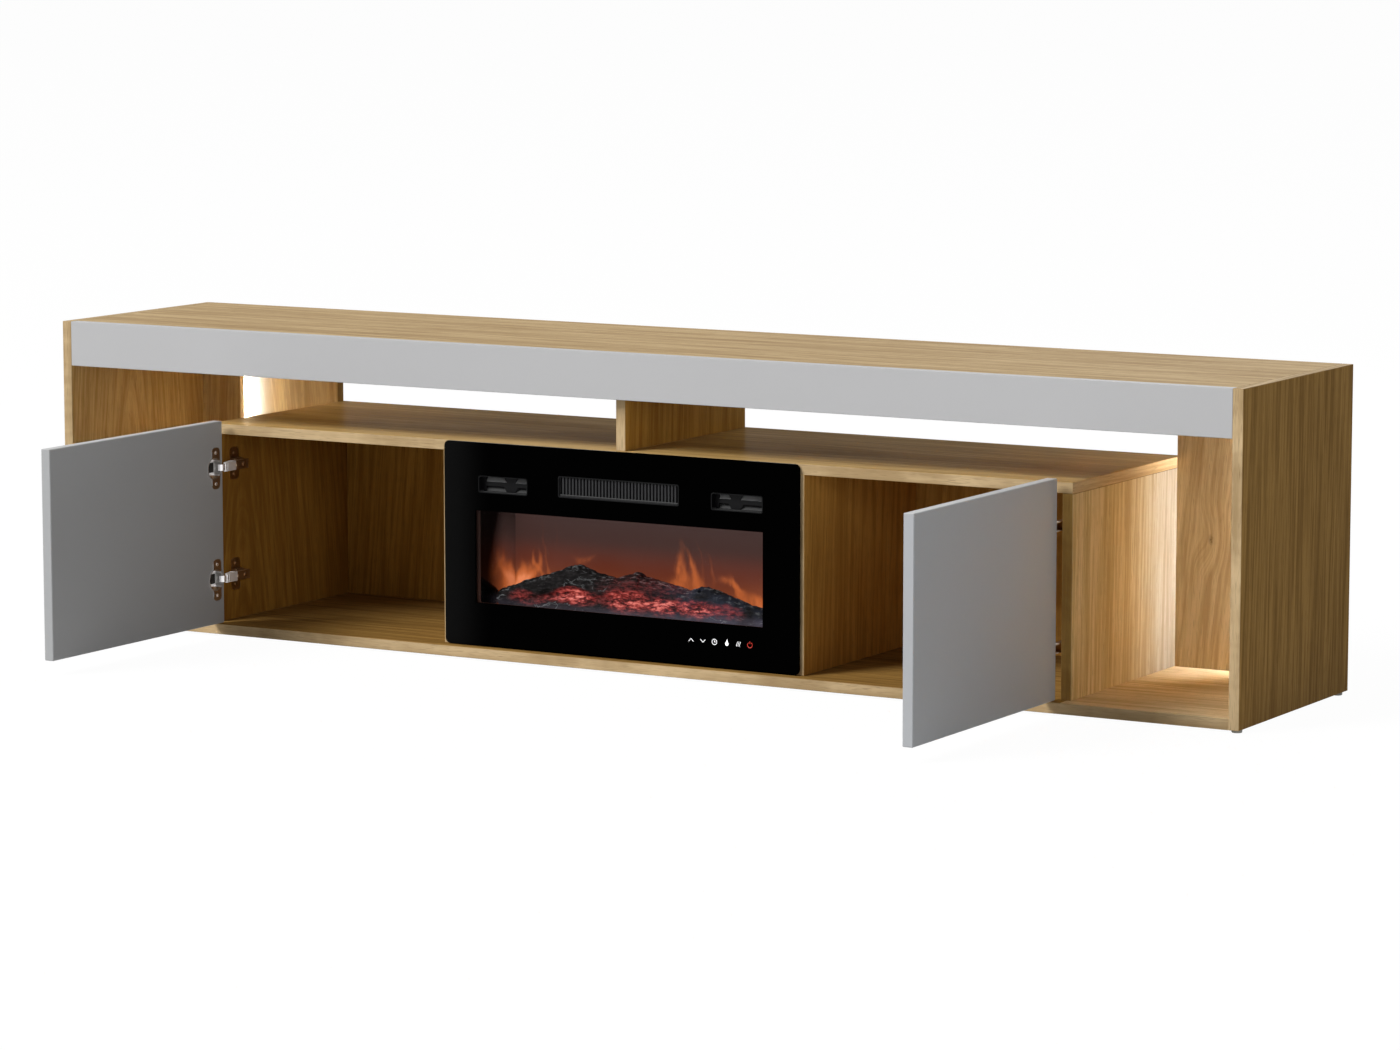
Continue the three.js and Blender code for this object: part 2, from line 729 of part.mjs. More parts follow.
// Vent insert of the right side: a slotted face at the back of a recess, two rows of a short and a long slot
// with a sloping blade behind each row
function makeVent() {
  const faceFront = glassFront + ventRecess;
  const faceBack = faceFront + ventFaceThickness;
  const flangeFront = frontPlateBack + seatGap;
  const shaped = (clearance) => opening(ventCentre, ventRise, ventWidth, ventHeight, clearance, THREE.Shape);
  const [tube, flange] = [shaped(seatGap), shaped(-grilleFlange)];
  const bore = opening(ventCentre, ventRise, ventWidth, ventHeight, seatGap + ventRim);
  tube.holes.push(bore);
  flange.holes.push(bore);
  const shortStart = ventCentre - (ventShortSlot + ventWeb + ventLongSlot) / 2;
  const shortEnd = shortStart + ventShortSlot;
  const longStart = shortEnd + ventWeb;
  const longEnd = longStart + ventLongSlot;
  const middle = glassBottom + ventRise + ventHeight / 2;
  const slots = [];
  const blades = [];
  for (let row = 0; row < ventRows; row += 1) {
    const low = middle + (row - (ventRows - 1) / 2) * ventRowPitch - ventSlotHeight / 2;
    const high = low + ventSlotHeight;
    const shortSlot = polygon([[shortStart, low], [shortEnd, low], [shortEnd - ventFlare, high],
      [shortStart, high]]);
    const longSlot = polygon([[longStart, low], [longEnd, low], [longEnd, high],
      [longStart + ventFlare, high]]);
    for (const slot of [shortSlot, longSlot]) {
      slots.push(extrudeBack(slot, faceFront - overrun, faceBack + overrun));
    }
    const blade = polygon([[faceFront + ventFaceThickness / 2, low - ventBladeThickness],
      [faceBack + ventBladeDepth, low + ventBladeLift - ventBladeThickness],
      [faceBack + ventBladeDepth, low + ventBladeLift], [faceFront + ventFaceThickness / 2, low]]);
    blades.push(extrudeAcross(blade, shortStart - ventBladeThickness, longEnd + ventBladeThickness));
  }
  const inset = seatGap + ventRim * ventFaceSeat;
  const [halfWidth, halfHeight] = [ventWidth / 2 - inset, ventHeight / 2 - inset];
  const face = block([ventCentre - halfWidth, faceFront, middle - halfHeight],
    [ventCentre + halfWidth, faceBack, middle + halfHeight]);
  return join([extrudeBack(tube, glassFront, faceBack),
    extrudeBack(flange, flangeFront, flangeFront + grilleFlangeThickness), cut(face, slots), ...blades]);
}

// Firebox: open-fronted steel body with the flame chamber's floor, roof and cheeks and two bearing posts

function makeFirebox() {
  const half = bodyWidth / 2;
  const top = bodyBottom + bodyHeight;
  const shell = cut(block([-half, bodyFront, bodyBottom], [half, bodyBack, top]),
    [block([-half + bodyWall, bodyFront - overrun, bodyBottom + bodyWall],
      [half - bodyWall, bodyBack - bodyWall, top - bodyWall])]);
  const sheets = [chamberFloor, chamberRoof].map((z) => block([-half + bodyWall / 2, bodyFront, z - bodyWall],
    [half - bodyWall / 2, chamberBack, z]));
  const cheeks = [-1, 1].map((way) => extrudeUp(polygon([
    [way * cheekFrontHalf, bodyFront], [way * (cheekFrontHalf + bodyWall), bodyFront],
    [way * (cheekBackHalf + bodyWall), chamberBack], [way * cheekBackHalf, chamberBack],
  ]), chamberFloor - bodyWall / 2, chamberRoof - bodyWall / 2));
  const spindleY = bodyFront + spindleSetback;
  const spindleZ = bodyBottom + spindleRise;
  const posts = [-postHalf, postHalf].map((x) => block(
    [x - postThickness / 2, spindleY - postWidth / 2, bodyBottom + bodyWall / 2],
    [x + postThickness / 2, spindleY + postWidth / 2, spindleZ + postWidth / 2]));
  const inletHole = roundedRectangle([inletCentre, bodyBottom + inletRise],
    [inletWidth + seatGap * 2, inletHeight + seatGap * 2], inletCorner);
  const slotTop = top - backSlotDrop;
  const slots = Array.from({ length: backSlotCount }, (_, index) => {
    const x = (index - (backSlotCount - 1) / 2) * backSlotPitch;
    return block([x - backSlotWidth / 2, bodyBack - bodyWall - overrun, slotTop - backSlotHeight],
      [x + backSlotWidth / 2, bodyBack + overrun, slotTop]);
  });
  return cut(join([shell, ...sheets, ...cheeks, ...posts]), [
    extrudeBack(inletHole, bodyBack - bodyWall - overrun, bodyBack + overrun),
    rod([-half + bodyWall * 2, spindleY, spindleZ], [half - bodyWall * 2, spindleY, spindleZ],
      spindleRodRadius + shaftClearance, fineSides),
    ...slots,
  ]);
}

function makeScreen() {
  const half = cheekBackHalf + screenOverlap;
  const front = chamberBack + seatGap;
  return easedBlock([-half, front, chamberFloor - screenOverlap],
    [half, front + screenThickness, chamberRoof], screenEase);
}

// Resin logs on a bed of embers, as one moulding

const bedFront = bodyFront + bedFrontSetback;
const bedBottom = chamberFloor + seatGap;

function onBed([across, back, up]) {
  return new THREE.Vector3(across * bedHalfWidth, bedFront + back * bedDepth, bedBottom + up * pileHeight);
}

function makeLogBed() {
  const bed = new THREE.BoxGeometry(bedHalfWidth * 2, bedDepth, bedThickness,
    bedSegmentsAcross, bedSegmentsDeep, 1);
  const places = bed.getAttribute('position');
  for (let index = 0; index < places.count; index += 1) {
    if (places.getZ(index) < 0) continue;
    const [across, deep] = [places.getX(index) / bedHalfWidth, places.getY(index) / bedDepth];
    const [fast, slow, back] = bedRippleTurns;
    const ripple = Math.sin(across * fast) * Math.cos(across * slow + deep * back);
    const swell = (1 - across * across) * (1 - bedRippleShare + bedRippleShare * ripple);
    places.setZ(index, bedThickness / 2 + bedSwell * swell);
  }
  bed.translate(0, bedFront + bedDepth / 2, bedBottom + bedThickness / 2);
  const pile = join([bed, ...logShares.map(makeBank), ...logShares.map(makeLog)]);
  const below = block([-cheekFrontHalf, bedFront - bedDepth, bedBottom - bedDepth],
    [cheekFrontHalf, bedFront + bedDepth * 2, bedBottom]);
  return cut(pile, [below]);
}

// Embers heaped under a log, with sloping sides
function makeBank({ start, end, radii }) {
  const corners = [];
  for (const [middle, share, outwards] of [[onBed(start), radii[0], -1], [onBed(end), radii[1], 1]]) {
    const half = share * logRadius + bankShoulder;
    for (const way of [-1, 1]) {
      corners.push(
        new THREE.Vector3(middle.x + outwards * bankShoulder, middle.y + way * half, middle.z),
        new THREE.Vector3(middle.x + outwards * bankSpread, middle.y + way * (half + bankSpread), bedBottom),
      );
    }
  }
  return new ConvexGeometry(corners);
}

function makeLog({ start, end, radii }, turns) {
  const from = onBed(start);
  const along = onBed(end).sub(from);
  const length = along.length();
  const geometry = new THREE.CylinderGeometry(1, 1, length, logSides, logSteps);
  const places = geometry.getAttribute('position');
  for (let vertex = 0; vertex < places.count; vertex += 1) {
    const point = new THREE.Vector3().fromBufferAttribute(places, vertex);
    const share = point.y / length + 0.5;
    const angle = Math.atan2(point.z, point.x);
    const wave = Math.sin(angle * 3 + share * logKinks * 2 + turns) * Math.cos(share * logKinks * 3 + turns);
    const radius = THREE.MathUtils.lerp(radii[0], radii[1], share) * logRadius + logBark * wave;
    const reach = Math.sign(Math.hypot(point.x, point.z)) * radius;
    places.setXYZ(vertex, point.x * reach, point.y, point.z * reach);
  }
  geometry.rotateY(Math.PI / logSides);
  geometry.translate(0, length / 2, 0);
  geometry.applyQuaternion(new THREE.Quaternion().setFromUnitVectors(yWay, along.normalize()));
  return geometry.translate(from.x, from.y, from.z);
}

// Cross-flow blower above the flame chamber

const wheelY = bodyFront + wheelSetback;
const wheelZ = chamberRoof + seatGap + housingWall + scrollClearance + scrollGrowth + wheelRadius;
const ductFloor = glassBottom + outletRise - seatGap;
const ductRoof = glassBottom + outletRise + outletHeight + seatGap;
const ductFront = bodyFront + housingFront;

function onWheel(radius, degrees) {
  const angle = THREE.MathUtils.degToRad(degrees);
  return [wheelY + radius * Math.cos(angle), wheelZ + radius * Math.sin(angle)];
}

const scrollLip = onWheel(wheelRadius + scrollClearance, -scrollEndAngle);
const tongueTip = onWheel(wheelRadius + tongueGap, 180 - tongueAngle);

// Height of a duct wall that slopes from the duct's front to a point near the wheel
function ductWallAt(y, frontHeight, end) {
  return THREE.MathUtils.mapLinear(y, ductFront, end[0], frontHeight, end[1]);
}

// The scroll passes under the wheel and opens into the duct, and the tongue closes the duct above
function makeHousing() {
  const inner = [];
  const outer = [];
  for (let step = 0; step <= scrollSteps; step += 1) {
    const share = step / scrollSteps;
    const angle = -THREE.MathUtils.lerp(scrollStartAngle, scrollEndAngle, share);
    const radius = wheelRadius + scrollClearance + scrollGrowth * (1 - Math.abs(1 - share * 2));
    inner.push(onWheel(radius, angle));
    outer.unshift(onWheel(radius + housingWall, angle));
  }
  const scroll = polygon([...inner, [ductFront, ductFloor], [ductFront, ductFloor - housingWall], ...outer]);
  const tongueTop = [tongueTip[0], tongueTip[1] + housingWall];
  const tongue = polygon([[ductFront, ductRoof], tongueTip, tongueTop, [ductFront, ductRoof + housingWall]]);
  const innerHalf = wheelLength / 2 + housingEndGap;
  const outerHalf = innerHalf + housingWall;
  const overWheel = endPlateAngles.map((angle) => onWheel(wheelRadius + tongueGap, angle));
  const endOutline = polygon([[ductFront, ductFloor - housingWall], ...outer, ...overWheel, tongueTop,
    [ductFront, ductRoof + housingWall]]);
  const ends = [[-outerHalf, -innerHalf], [innerHalf, outerHalf]].map(([from, to]) =>
    extrudeAcross(endOutline, from, to));
  const shaftHole = rod([-outerHalf - overrun, wheelY, wheelZ], [outerHalf + overrun, wheelY, wheelZ],
    shaftRadius + shaftClearance, fineSides);
  return cut(join([extrudeAcross(scroll, -outerHalf, outerHalf), extrudeAcross(tongue, -outerHalf, outerHalf),
    ...ends]), [shaftHole]);
}

function makeWheel() {
  const half = wheelLength / 2;
  const discs = [-half, -wheelDiscThickness / 2, half - wheelDiscThickness].map((x) =>
    rod([x, wheelY, wheelZ], [x + wheelDiscThickness, wheelY, wheelZ], wheelRadius, fineSides));
  const blades = Array.from({ length: wheelBlades }, (_, index) => {
    const angle = (index / wheelBlades) * 360;
    const halfWall = THREE.MathUtils.radToDeg(wheelBladeThickness / 2 / wheelRadius);
    const reach = wheelRadius - wheelBladeThickness / 2;
    const tip = angle + wheelBladeLean;
    const section = polygon([onWheel(wheelInnerRadius, angle - halfWall), onWheel(reach, tip - halfWall),
      onWheel(reach, tip + halfWall), onWheel(wheelInnerRadius, angle + halfWall)]);
    return extrudeAcross(section, -half, half);
  });
  const bearingEnd = half + housingEndGap + housingWall;
  const motorEnd = bearingEnd + blowerMotorGap + blowerMotorLength / 2;
  const shaft = rod([-bearingEnd - overrun, wheelY, wheelZ], [motorEnd, wheelY, wheelZ], shaftRadius);
  return join([shaft, ...discs, ...blades]);
}

function makeBlowerMotor() {
  const start = wheelLength / 2 + housingEndGap + housingWall + blowerMotorGap;
  const end = start + blowerMotorLength;
  const foot = block([start, wheelY - motorFootWidth / 2, chamberRoof + seatGap],
    [end, wheelY + motorFootWidth / 2, wheelZ]);
  const bore = rod([start - overrun, wheelY, wheelZ],
    [start + blowerMotorLength / 2 + shaftClearance, wheelY, wheelZ], shaftRadius + shaftClearance);
  const can = rod([start, wheelY, wheelZ], [end, wheelY, wheelZ], blowerMotorRadius, fineSides);
  return cut(join([can, foot]), [bore]);
}

// Ceramic heater: a rim with rows of fins that the air passes between
function makeHeater() {
  const half = wheelLength / 2 - seatGap;
  const front = bodyFront + heaterSetback;
  const low = ductWallAt(front, ductFloor, scrollLip) + seatGap;
  const high = ductWallAt(front + heaterDepth, ductRoof, tongueTip) - seatGap;
  const cellWidth = (half * 2 - heaterRim * 2 + heaterFin) / heaterColumns;
  const cellHeight = (high - low - heaterRim * 2 + heaterFin) / heaterRows;
  const cells = [];
  for (let column = 0; column < heaterColumns; column += 1) {
    for (let row = 0; row < heaterRows; row += 1) {
      const x = heaterRim - half + column * cellWidth;
      const z = low + heaterRim + row * cellHeight;
      cells.push(block([x, front - overrun, z],
        [x + cellWidth - heaterFin, front + heaterDepth + overrun, z + cellHeight - heaterFin]));
    }
  }
  return cut(block([-half, front, low], [half, front + heaterDepth, high]), cells);
}

// Flame projector behind the screen

const spindleY = bodyFront + spindleSetback;
const spindleZ = bodyBottom + spindleRise;

function makeSpindle() {
  const end = postHalf - postThickness / 2 - seatGap;
  const motorEnd = postHalf + postThickness / 2 + seatGap + spindleMotorLength / 2;
  const run = end * 2 - spindlePaddleWidth;
  const paddles = Array.from({ length: spindlePaddleCount }, (_, index) => {
    const x = -end + (index / (spindlePaddleCount - 1)) * run;
    const paddle = block([x, -spindlePaddleReach, -spindlePaddleThickness / 2],
      [x + spindlePaddleWidth, spindlePaddleReach, spindlePaddleThickness / 2]);
    paddle.rotateX(THREE.MathUtils.degToRad(index * spindlePaddleTurn));
    return paddle.translate(0, spindleY, spindleZ);
  });
  const rodEnd = postHalf + postThickness / 2 + overrun;
  const shaft = rod([-rodEnd, spindleY, spindleZ], [motorEnd, spindleY, spindleZ], spindleRodRadius);
  return join([shaft, ...paddles]);
}

function makeSpindleMotor() {
  const start = postHalf + postThickness / 2 + seatGap;
  const bore = rod([start - overrun, spindleY, spindleZ],
    [start + spindleMotorLength / 2 + shaftClearance, spindleY, spindleZ], spindleRodRadius + shaftClearance);
  return cut(rod([start, spindleY, spindleZ], [start + spindleMotorLength, spindleY, spindleZ],
    spindleMotorRadius, fineSides), [bore]);
}

function makeLightBoard() {
  const [half, front] = [lightBoardLength / 2, bodyFront + lightBoardSetback];
  const low = bodyBottom + bodyWall + seatGap + lightBoardRise;
  const high = low + lightBoardThickness;
  const middleY = front + lightBoardWidth / 2;
  const lights = Array.from({ length: lightCount }, (_, index) => {
    const x = ((index + 0.5) / lightCount - 0.5) * lightBoardLength;
    return block([x - lightSize / 2, middleY - lightSize / 2, low],
      [x + lightSize / 2, middleY + lightSize / 2, high + lightHeight]);
  });
  const standoffs = lightStandoffShares.map((share) => {
    const x = share * lightBoardLength;
    return rod([x, middleY, low - lightBoardRise], [x, middleY, high], lightStandoffRadius);
  });
  return join([block([-half, front, low], [half, front + lightBoardWidth, high]), ...lights, ...standoffs]);
}

function makeTouchBoard() {
  const front = frontPlateBack + seatGap;
  const back = front + touchBoardThickness;
  const middleZ = glassBottom + touchRise;
  const outline = roundedRectangle([touchCentre, middleZ], [touchBoardWidth, touchBoardHeight], cutoutCorner);
  const chips = touchChipShares.map((share) => {
    const x = touchCentre + share * touchBoardWidth;
    return block([x - touchChipWidth / 2, front, middleZ - touchChipWidth / 2],
      [x + touchChipWidth / 2, back + touchChipDepth, middleZ + touchChipWidth / 2]);
  });
  return join([extrudeBack(outline, front, back), ...chips]);
}

// Power inlet in the back wall, its socket open to the back
function makeInlet() {
  const centre = [inletCentre, bodyBottom + inletRise];
  const flangeFront = bodyBack + seatGap;
  const flangeBack = flangeFront + inletFlangeThickness;
  const front = flangeBack - inletDepth;
  const body = roundedRectangle(centre, [inletWidth, inletHeight], inletCorner);
  const flange = roundedRectangle(centre, [inletWidth + inletFlange * 2, inletHeight + inletFlange * 2],
    inletCorner);
  const socket = roundedRectangle(centre, [inletWidth - inletWall * 2, inletHeight - inletWall * 2],
    inletCorner - inletWall / 2);
  const shell = join([extrudeBack(body, front, flangeBack), extrudeBack(flange, flangeFront, flangeBack)]);
  const housing = cut(shell, [extrudeBack(socket, front + inletWall, flangeBack + overrun)]);
  const pins = [-inletPinPitch, 0, inletPinPitch].map((offset) => {
    const x = inletCentre + offset;
    return rod([x, front + inletWall / 2, centre[1]], [x, flangeBack - inletPinFloor, centre[1]],
      inletPinRadius);
  });
  return join([housing, ...pins]);
}

function makeFireplace() {
  const group = new THREE.Group();
  const vent = makeVent();
  const mirroredVent = named('fire_left_vent', vent, finishes.blackPlastic);
  mirroredVent.scale.x = -1;
  group.add(
    named('fire_glass', makeGlass(), finishes.blackGlass),
    named('fire_front_plate', makeFrontPlate(), finishes.blackSteel),
    named('fire_outlet_grille', makeGrille(), finishes.blackPlastic),
    mirroredVent,
    named('fire_right_vent', vent, finishes.blackPlastic),
    named('firebox', makeFirebox(), finishes.blackSteel),
    named('flame_screen', makeScreen(), finishes.screen),
    named('log_bed', makeLogBed(), finishes.logs),
    named('blower_housing', makeHousing(), finishes.steel),
    named('blower_wheel', makeWheel(), finishes.steel),
    named('blower_motor', makeBlowerMotor(), finishes.blackSteel),
    named('heater_core', makeHeater(), finishes.steel),
    named('flame_spindle', makeSpindle(), finishes.steel),
    named('spindle_motor', makeSpindleMotor(), finishes.brass),
    named('flame_light_board', makeLightBoard(), finishes.circuit),
    named('touch_board', makeTouchBoard(), finishes.circuit),
    named('power_inlet', makeInlet(), finishes.blackPlastic),
  );
  return group;
}

function makeHalf(side) {
  const half = new THREE.Group();
  half.add(makeSide(side), makeDoor(side), makeHinges(side));
  if (side === 'left') half.scale.x = -1;
  return half;
}

// The origin lies on the floor, under the middle of the whole part with its doors open
const stand = new THREE.Group();
stand.add(makeCentre(), makeHalf('left'), makeHalf('right'), makeFireplace());
const freeEdgeY = axisY + axisFromEdge - doorWidth;
stand.position.y = -(carcassDepth + freeEdgeY) / 2;

export default stand;
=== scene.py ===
# Fireplace TV stand: its finishes, the fire behind the glass and the small fittings, in metres
import math

import bpy
from mathutils import Matrix, Vector


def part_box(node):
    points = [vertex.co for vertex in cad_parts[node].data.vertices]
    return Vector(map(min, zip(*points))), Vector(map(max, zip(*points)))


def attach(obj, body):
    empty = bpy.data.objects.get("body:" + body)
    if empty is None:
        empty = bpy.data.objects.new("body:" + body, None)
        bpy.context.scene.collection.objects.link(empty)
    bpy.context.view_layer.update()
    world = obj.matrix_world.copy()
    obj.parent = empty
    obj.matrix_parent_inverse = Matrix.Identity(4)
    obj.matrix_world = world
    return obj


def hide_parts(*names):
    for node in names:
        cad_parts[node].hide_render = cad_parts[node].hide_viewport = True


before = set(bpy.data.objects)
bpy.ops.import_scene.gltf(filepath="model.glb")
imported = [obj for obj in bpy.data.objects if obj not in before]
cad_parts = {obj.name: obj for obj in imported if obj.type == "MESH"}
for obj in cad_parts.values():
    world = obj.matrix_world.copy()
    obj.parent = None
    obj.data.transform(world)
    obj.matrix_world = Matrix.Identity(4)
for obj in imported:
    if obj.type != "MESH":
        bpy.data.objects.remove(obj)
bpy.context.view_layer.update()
print("frame loaded with", len(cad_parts), "nodes")

mm = 0.001
straight = (0.6, 0.9)  # share of a normal on an axis at which its face looks along that axis


def paint(red, green, blue):  # a colour as a screen shows it, made linear
    shown = [value / 255 for value in (red, green, blue)]
    return tuple(part / 12.92 if part <= 0.04045 else ((part + 0.055) / 1.055) ** 2.4
                 for part in shown) + (1.0,)


def darker(colour, share):
    return tuple(part * share for part in colour[:3]) + (1,)


# Shader sums

class Value:  # one output of a shader node, which takes part in plain sums
    def __init__(self, nodes, socket):
        self.nodes = nodes
        self.socket = socket

    def math(self, operation, first, second=0.0):
        return self.nodes.node("ShaderNodeMath", {"operation": operation}, {0: first, 1: second})

    def __add__(self, other):
        return self.math("ADD", self, other)

    __radd__ = __add__

    def __mul__(self, other):
        return self.math("MULTIPLY", self, other)

    __rmul__ = __mul__

    def __sub__(self, other):
        return self.math("SUBTRACT", self, other)

    def __rsub__(self, other):
        return self.math("SUBTRACT", other, self)

    def __truediv__(self, other):
        return self.math("DIVIDE", self, other)

    def __rtruediv__(self, other):
        return self.math("DIVIDE", other, self)

    def __pow__(self, other):
        return self.math("POWER", self, other)

    def __abs__(self):
        return self.math("ABSOLUTE", self)


class Nodes:  # the nodes of a material or of the world
    def __init__(self, tree):
        self.tree = tree

    def node(self, kind, settings=None, values=None, output=0):
        made = self.tree.nodes.new(kind)
        for name, setting in (settings or {}).items():
            setattr(made, name, setting)
        for name, value in (values or {}).items():
            if isinstance(value, Value):
                self.tree.links.new(value.socket, made.inputs[name])
            else:
                made.inputs[name].default_value = value
        return Value(self, made.outputs[output])

    def place(self):
        return self.node("ShaderNodeTexCoord", output="Object")

    def facing(self):  # the way that the surface looks
        return self.split(self.node("ShaderNodeNewGeometry", output="Normal"))

    def split(self, vector):
        return [self.node("ShaderNodeSeparateXYZ", None, {0: vector}, axis) for axis in "XYZ"]

    def point(self, x, y, z):
        return self.node("ShaderNodeCombineXYZ", None, {0: x, 1: y, 2: z})

    def noise(self, vector, scale=1.0, detail=2.0, rough=0.5):
        return self.node("ShaderNodeTexNoise", None,
                         {"Vector": vector, "Scale": scale, "Detail": detail, "Roughness": rough})

    def cells(self, vector, scale, feature):
        return self.node("ShaderNodeTexVoronoi", {"feature": feature},
                         {"Vector": vector, "Scale": scale})

    def ease(self, value, start, end, low=0.0, high=1.0):  # from low at start to high at end
        return self.node("ShaderNodeMapRange", {"interpolation_type": "SMOOTHSTEP"},
                         {0: value, 1: start, 2: end, 3: low, 4: high})

    def within(self, value, low, high, soft):  # one between low and high
        return self.ease(value, low - soft, low) * self.ease(value, high + soft, high)

    def mix(self, factor, first, second):
        return self.node("ShaderNodeMix", {"data_type": "RGBA"},
                         {0: factor, 6: first, 7: second}, output=2)

    def seenBare(self):  # one for a ray from the eye, straight or by way of metal or glass
        rays = [self.node("ShaderNodeLightPath", output=ray)
                for ray in ("Is Camera Ray", "Is Glossy Ray", "Is Transmission Ray")]
        return sum(rays[1:], rays[0])

    def surface(self, value, output):
        self.tree.links.new(value.socket, self.tree.nodes[output].inputs["Surface"])


class Finish(Nodes):  # a material
    def __init__(self, name, **constants):
        self.material = bpy.data.materials.new(name)
        self.material.use_nodes = True
        super().__init__(self.material.node_tree)
        self.shader = self.tree.nodes["Principled BSDF"]
        for socket, value in constants.items():
            self.shader.inputs[socket.replace("_", " ")].default_value = value

    def feed(self, socket, value):
        self.tree.links.new(value.socket, self.shader.inputs[socket])

    def bump(self, height, strength, distance):
        self.feed("Normal", self.node("ShaderNodeBump", None, {
            "Strength": strength, "Distance": distance, "Height": height}))


def deselectAll():
    bpy.ops.object.select_all(action="DESELECT")


def added(name):  # the piece that was just added, under its own name
    piece = bpy.context.object
    piece.name = name
    return piece


def settle(piece):  # its place, turn and scale go into its mesh
    deselectAll()
    piece.select_set(True)
    bpy.context.view_layer.objects.active = piece
    bpy.ops.object.transform_apply(location=True, rotation=True, scale=True)


def modify(piece, kind, **settings):
    modifier = piece.modifiers.new(kind, kind)
    for name, value in settings.items():
        setattr(modifier, name, value)
    bpy.context.view_layer.objects.active = piece
    bpy.ops.object.modifier_apply(modifier=modifier.name)


def joinPieces(name, pieces):
    deselectAll()
    for piece in pieces:
        piece.select_set(True)
    bpy.context.view_layer.objects.active = pieces[0]
    bpy.ops.object.join()
    return added(name)


def mount(piece, finish, body):
    piece.data.materials.clear()
    piece.data.materials.append(finish.material)
    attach(piece, body)


def dress(finish, *nodes):
    for node in nodes:
        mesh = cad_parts[node].data
        mesh.materials.clear()
        mesh.materials.append(finish.material)


# Camera

camera = {
    "place": (3.66415, -6.05242, 1.17966),
    "turnLeft": 30.072,  # degrees
    "tiltDown": 7.696,
    "roll": 0.017,
    "focalPixels": 4886.71,
    "photoWidth": 1400,
    "sensor": 36,  # millimetres
    "farthest": 60,
}


def makeCamera():
    lens = bpy.data.cameras.new("camera")
    lens.sensor_fit = "HORIZONTAL"
    lens.sensor_width = camera["sensor"]
    lens.lens = camera["focalPixels"] / camera["photoWidth"] * camera["sensor"]
    lens.clip_end = camera["farthest"]
    holder = bpy.data.objects.new("camera", lens)
    holder.location = camera["place"]
    holder.rotation_euler = (math.radians(90 - camera["tiltDown"]), math.radians(camera["roll"]),
                             math.radians(camera["turnLeft"]))
    bpy.context.scene.collection.objects.link(holder)
    bpy.context.scene.camera = holder


# Studio

studio = {
    "floorSize": 200,
    "floorColour": (0.6, 0.6, 0.6, 1),
    "floorGlow": 0.94,  # share of the floor that is plain white to the eye
    "floorWhite": 1.035,
    "white": (1, 1, 1, 1),
    "ambient": 0.19,
    "backdrop": 1,
    "lamps": {
        # name: place, what it points at, width, height, watts
        "key": ((-8.6, -12.6, 12.6), (0, 0, 0.2), 7.0, 9.0, 3900),
        "sideRight": ((4.6, -3.4, 1.3), (0.4, 0, 0.3), 1.6, 1.6, 42),
        "sideLeft": ((-4.8, -0.6, 1.0), (-0.4, 0, 0.3), 1.6, 1.6, 12),
        "back": ((0, 4.2, 2.6), (0, 0.2, 0.2), 3.0, 1.2, 40),
    },
}


def makeStudio():
    deselectAll()
    bpy.ops.mesh.primitive_plane_add(size=studio["floorSize"])
    floor = added("floor")
    paper = Finish("floor", Base_Color=studio["floorColour"], Roughness=1, Specular_IOR_Level=0)
    lit = Value(paper, paper.shader.outputs[0])
    glow = paper.node("ShaderNodeEmission", None, {"Color": studio["white"],
                                                   "Strength": studio["floorWhite"]})
    share = paper.seenBare() * studio["floorGlow"]
    paper.surface(paper.node("ShaderNodeMixShader", None, {0: share, 1: lit, 2: glow}),
                  "Material Output")
    floor.data.materials.append(paper.material)

    world = bpy.data.worlds.new("studio")
    world.use_nodes = True
    bpy.context.scene.world = world
    air = Nodes(world.node_tree)
    ambient, backdrop = [air.node("ShaderNodeBackground", None, {"Color": studio["white"],
                                                                 "Strength": studio[name]})
                         for name in ("ambient", "backdrop")]
    air.surface(air.node("ShaderNodeMixShader", None, {0: air.seenBare(), 1: ambient, 2: backdrop}),
                "World Output")

    for name, (place, target, width, height, watts) in studio["lamps"].items():
        lamp = bpy.data.lights.new(name, "AREA")
        lamp.shape = "RECTANGLE"
        lamp.size, lamp.size_y, lamp.energy = width, height, watts
        holder = bpy.data.objects.new(name, lamp)
        holder.location = place
        holder.rotation_euler = (Vector(target) - Vector(place)).to_track_quat("-Z", "Y").to_euler()
        bpy.context.scene.collection.objects.link(holder)
    bpy.context.scene.view_settings.view_transform = "Standard"


# Oak boards

oakTones = {
    # pale and deep colour of the faces; open is the oak on faces in the key light, and each other
    # tone is the same oak painted for the light or shade that its faces get
    "open": (paint(200, 173, 129), paint(162, 134, 94)),
    # the shelf, more saturated for the painted shade behind the fascia
    "shelf": (paint(198, 165, 106), paint(162, 129, 75)),
    # painted shade on faces turned away from the key light
    "side": (paint(164, 127, 68), paint(124, 92, 45)),
    # painted shade inside the compartments
    "inner": (paint(184, 138, 62), paint(150, 106, 41)),
    # darker painted shade on the left cabinet side
    "shade": (paint(166, 122, 52), paint(134, 92, 35)),
    # painted bounce light from the open right door
    "warm": (paint(202, 152, 76), paint(169, 122, 54)),
    # painted light of the LED strip in the right niche
    "niche": (paint(211, 185, 139), paint(179, 150, 104)),
    # painted light of the LED strip in the left niche
    "leftNiche": (paint(202, 172, 118), paint(168, 137, 86)),
    # painted LED light on the right cabinet side's face in the niche
    "lit": (paint(218, 193, 144), paint(184, 156, 106)),
    # painted LED light on the floor of the niches
    "floor": (paint(232, 208, 165), paint(196, 169, 125)),
    # painted sheen of the LED near the strips, paler and greyer
    "ledSheen": (paint(168, 159, 144), paint(140, 126, 107)),
}
oakEdges = {
    # the same for the banded edges and ends
    "pale": (paint(202, 176, 136), paint(168, 142, 104)),
    # a darker band; on the right cabinet side's front edge it is the painted shadow of the open
    # door, and the niche backs and right cover take it too
    "brown": (paint(176, 138, 76), paint(144, 108, 56)),
}
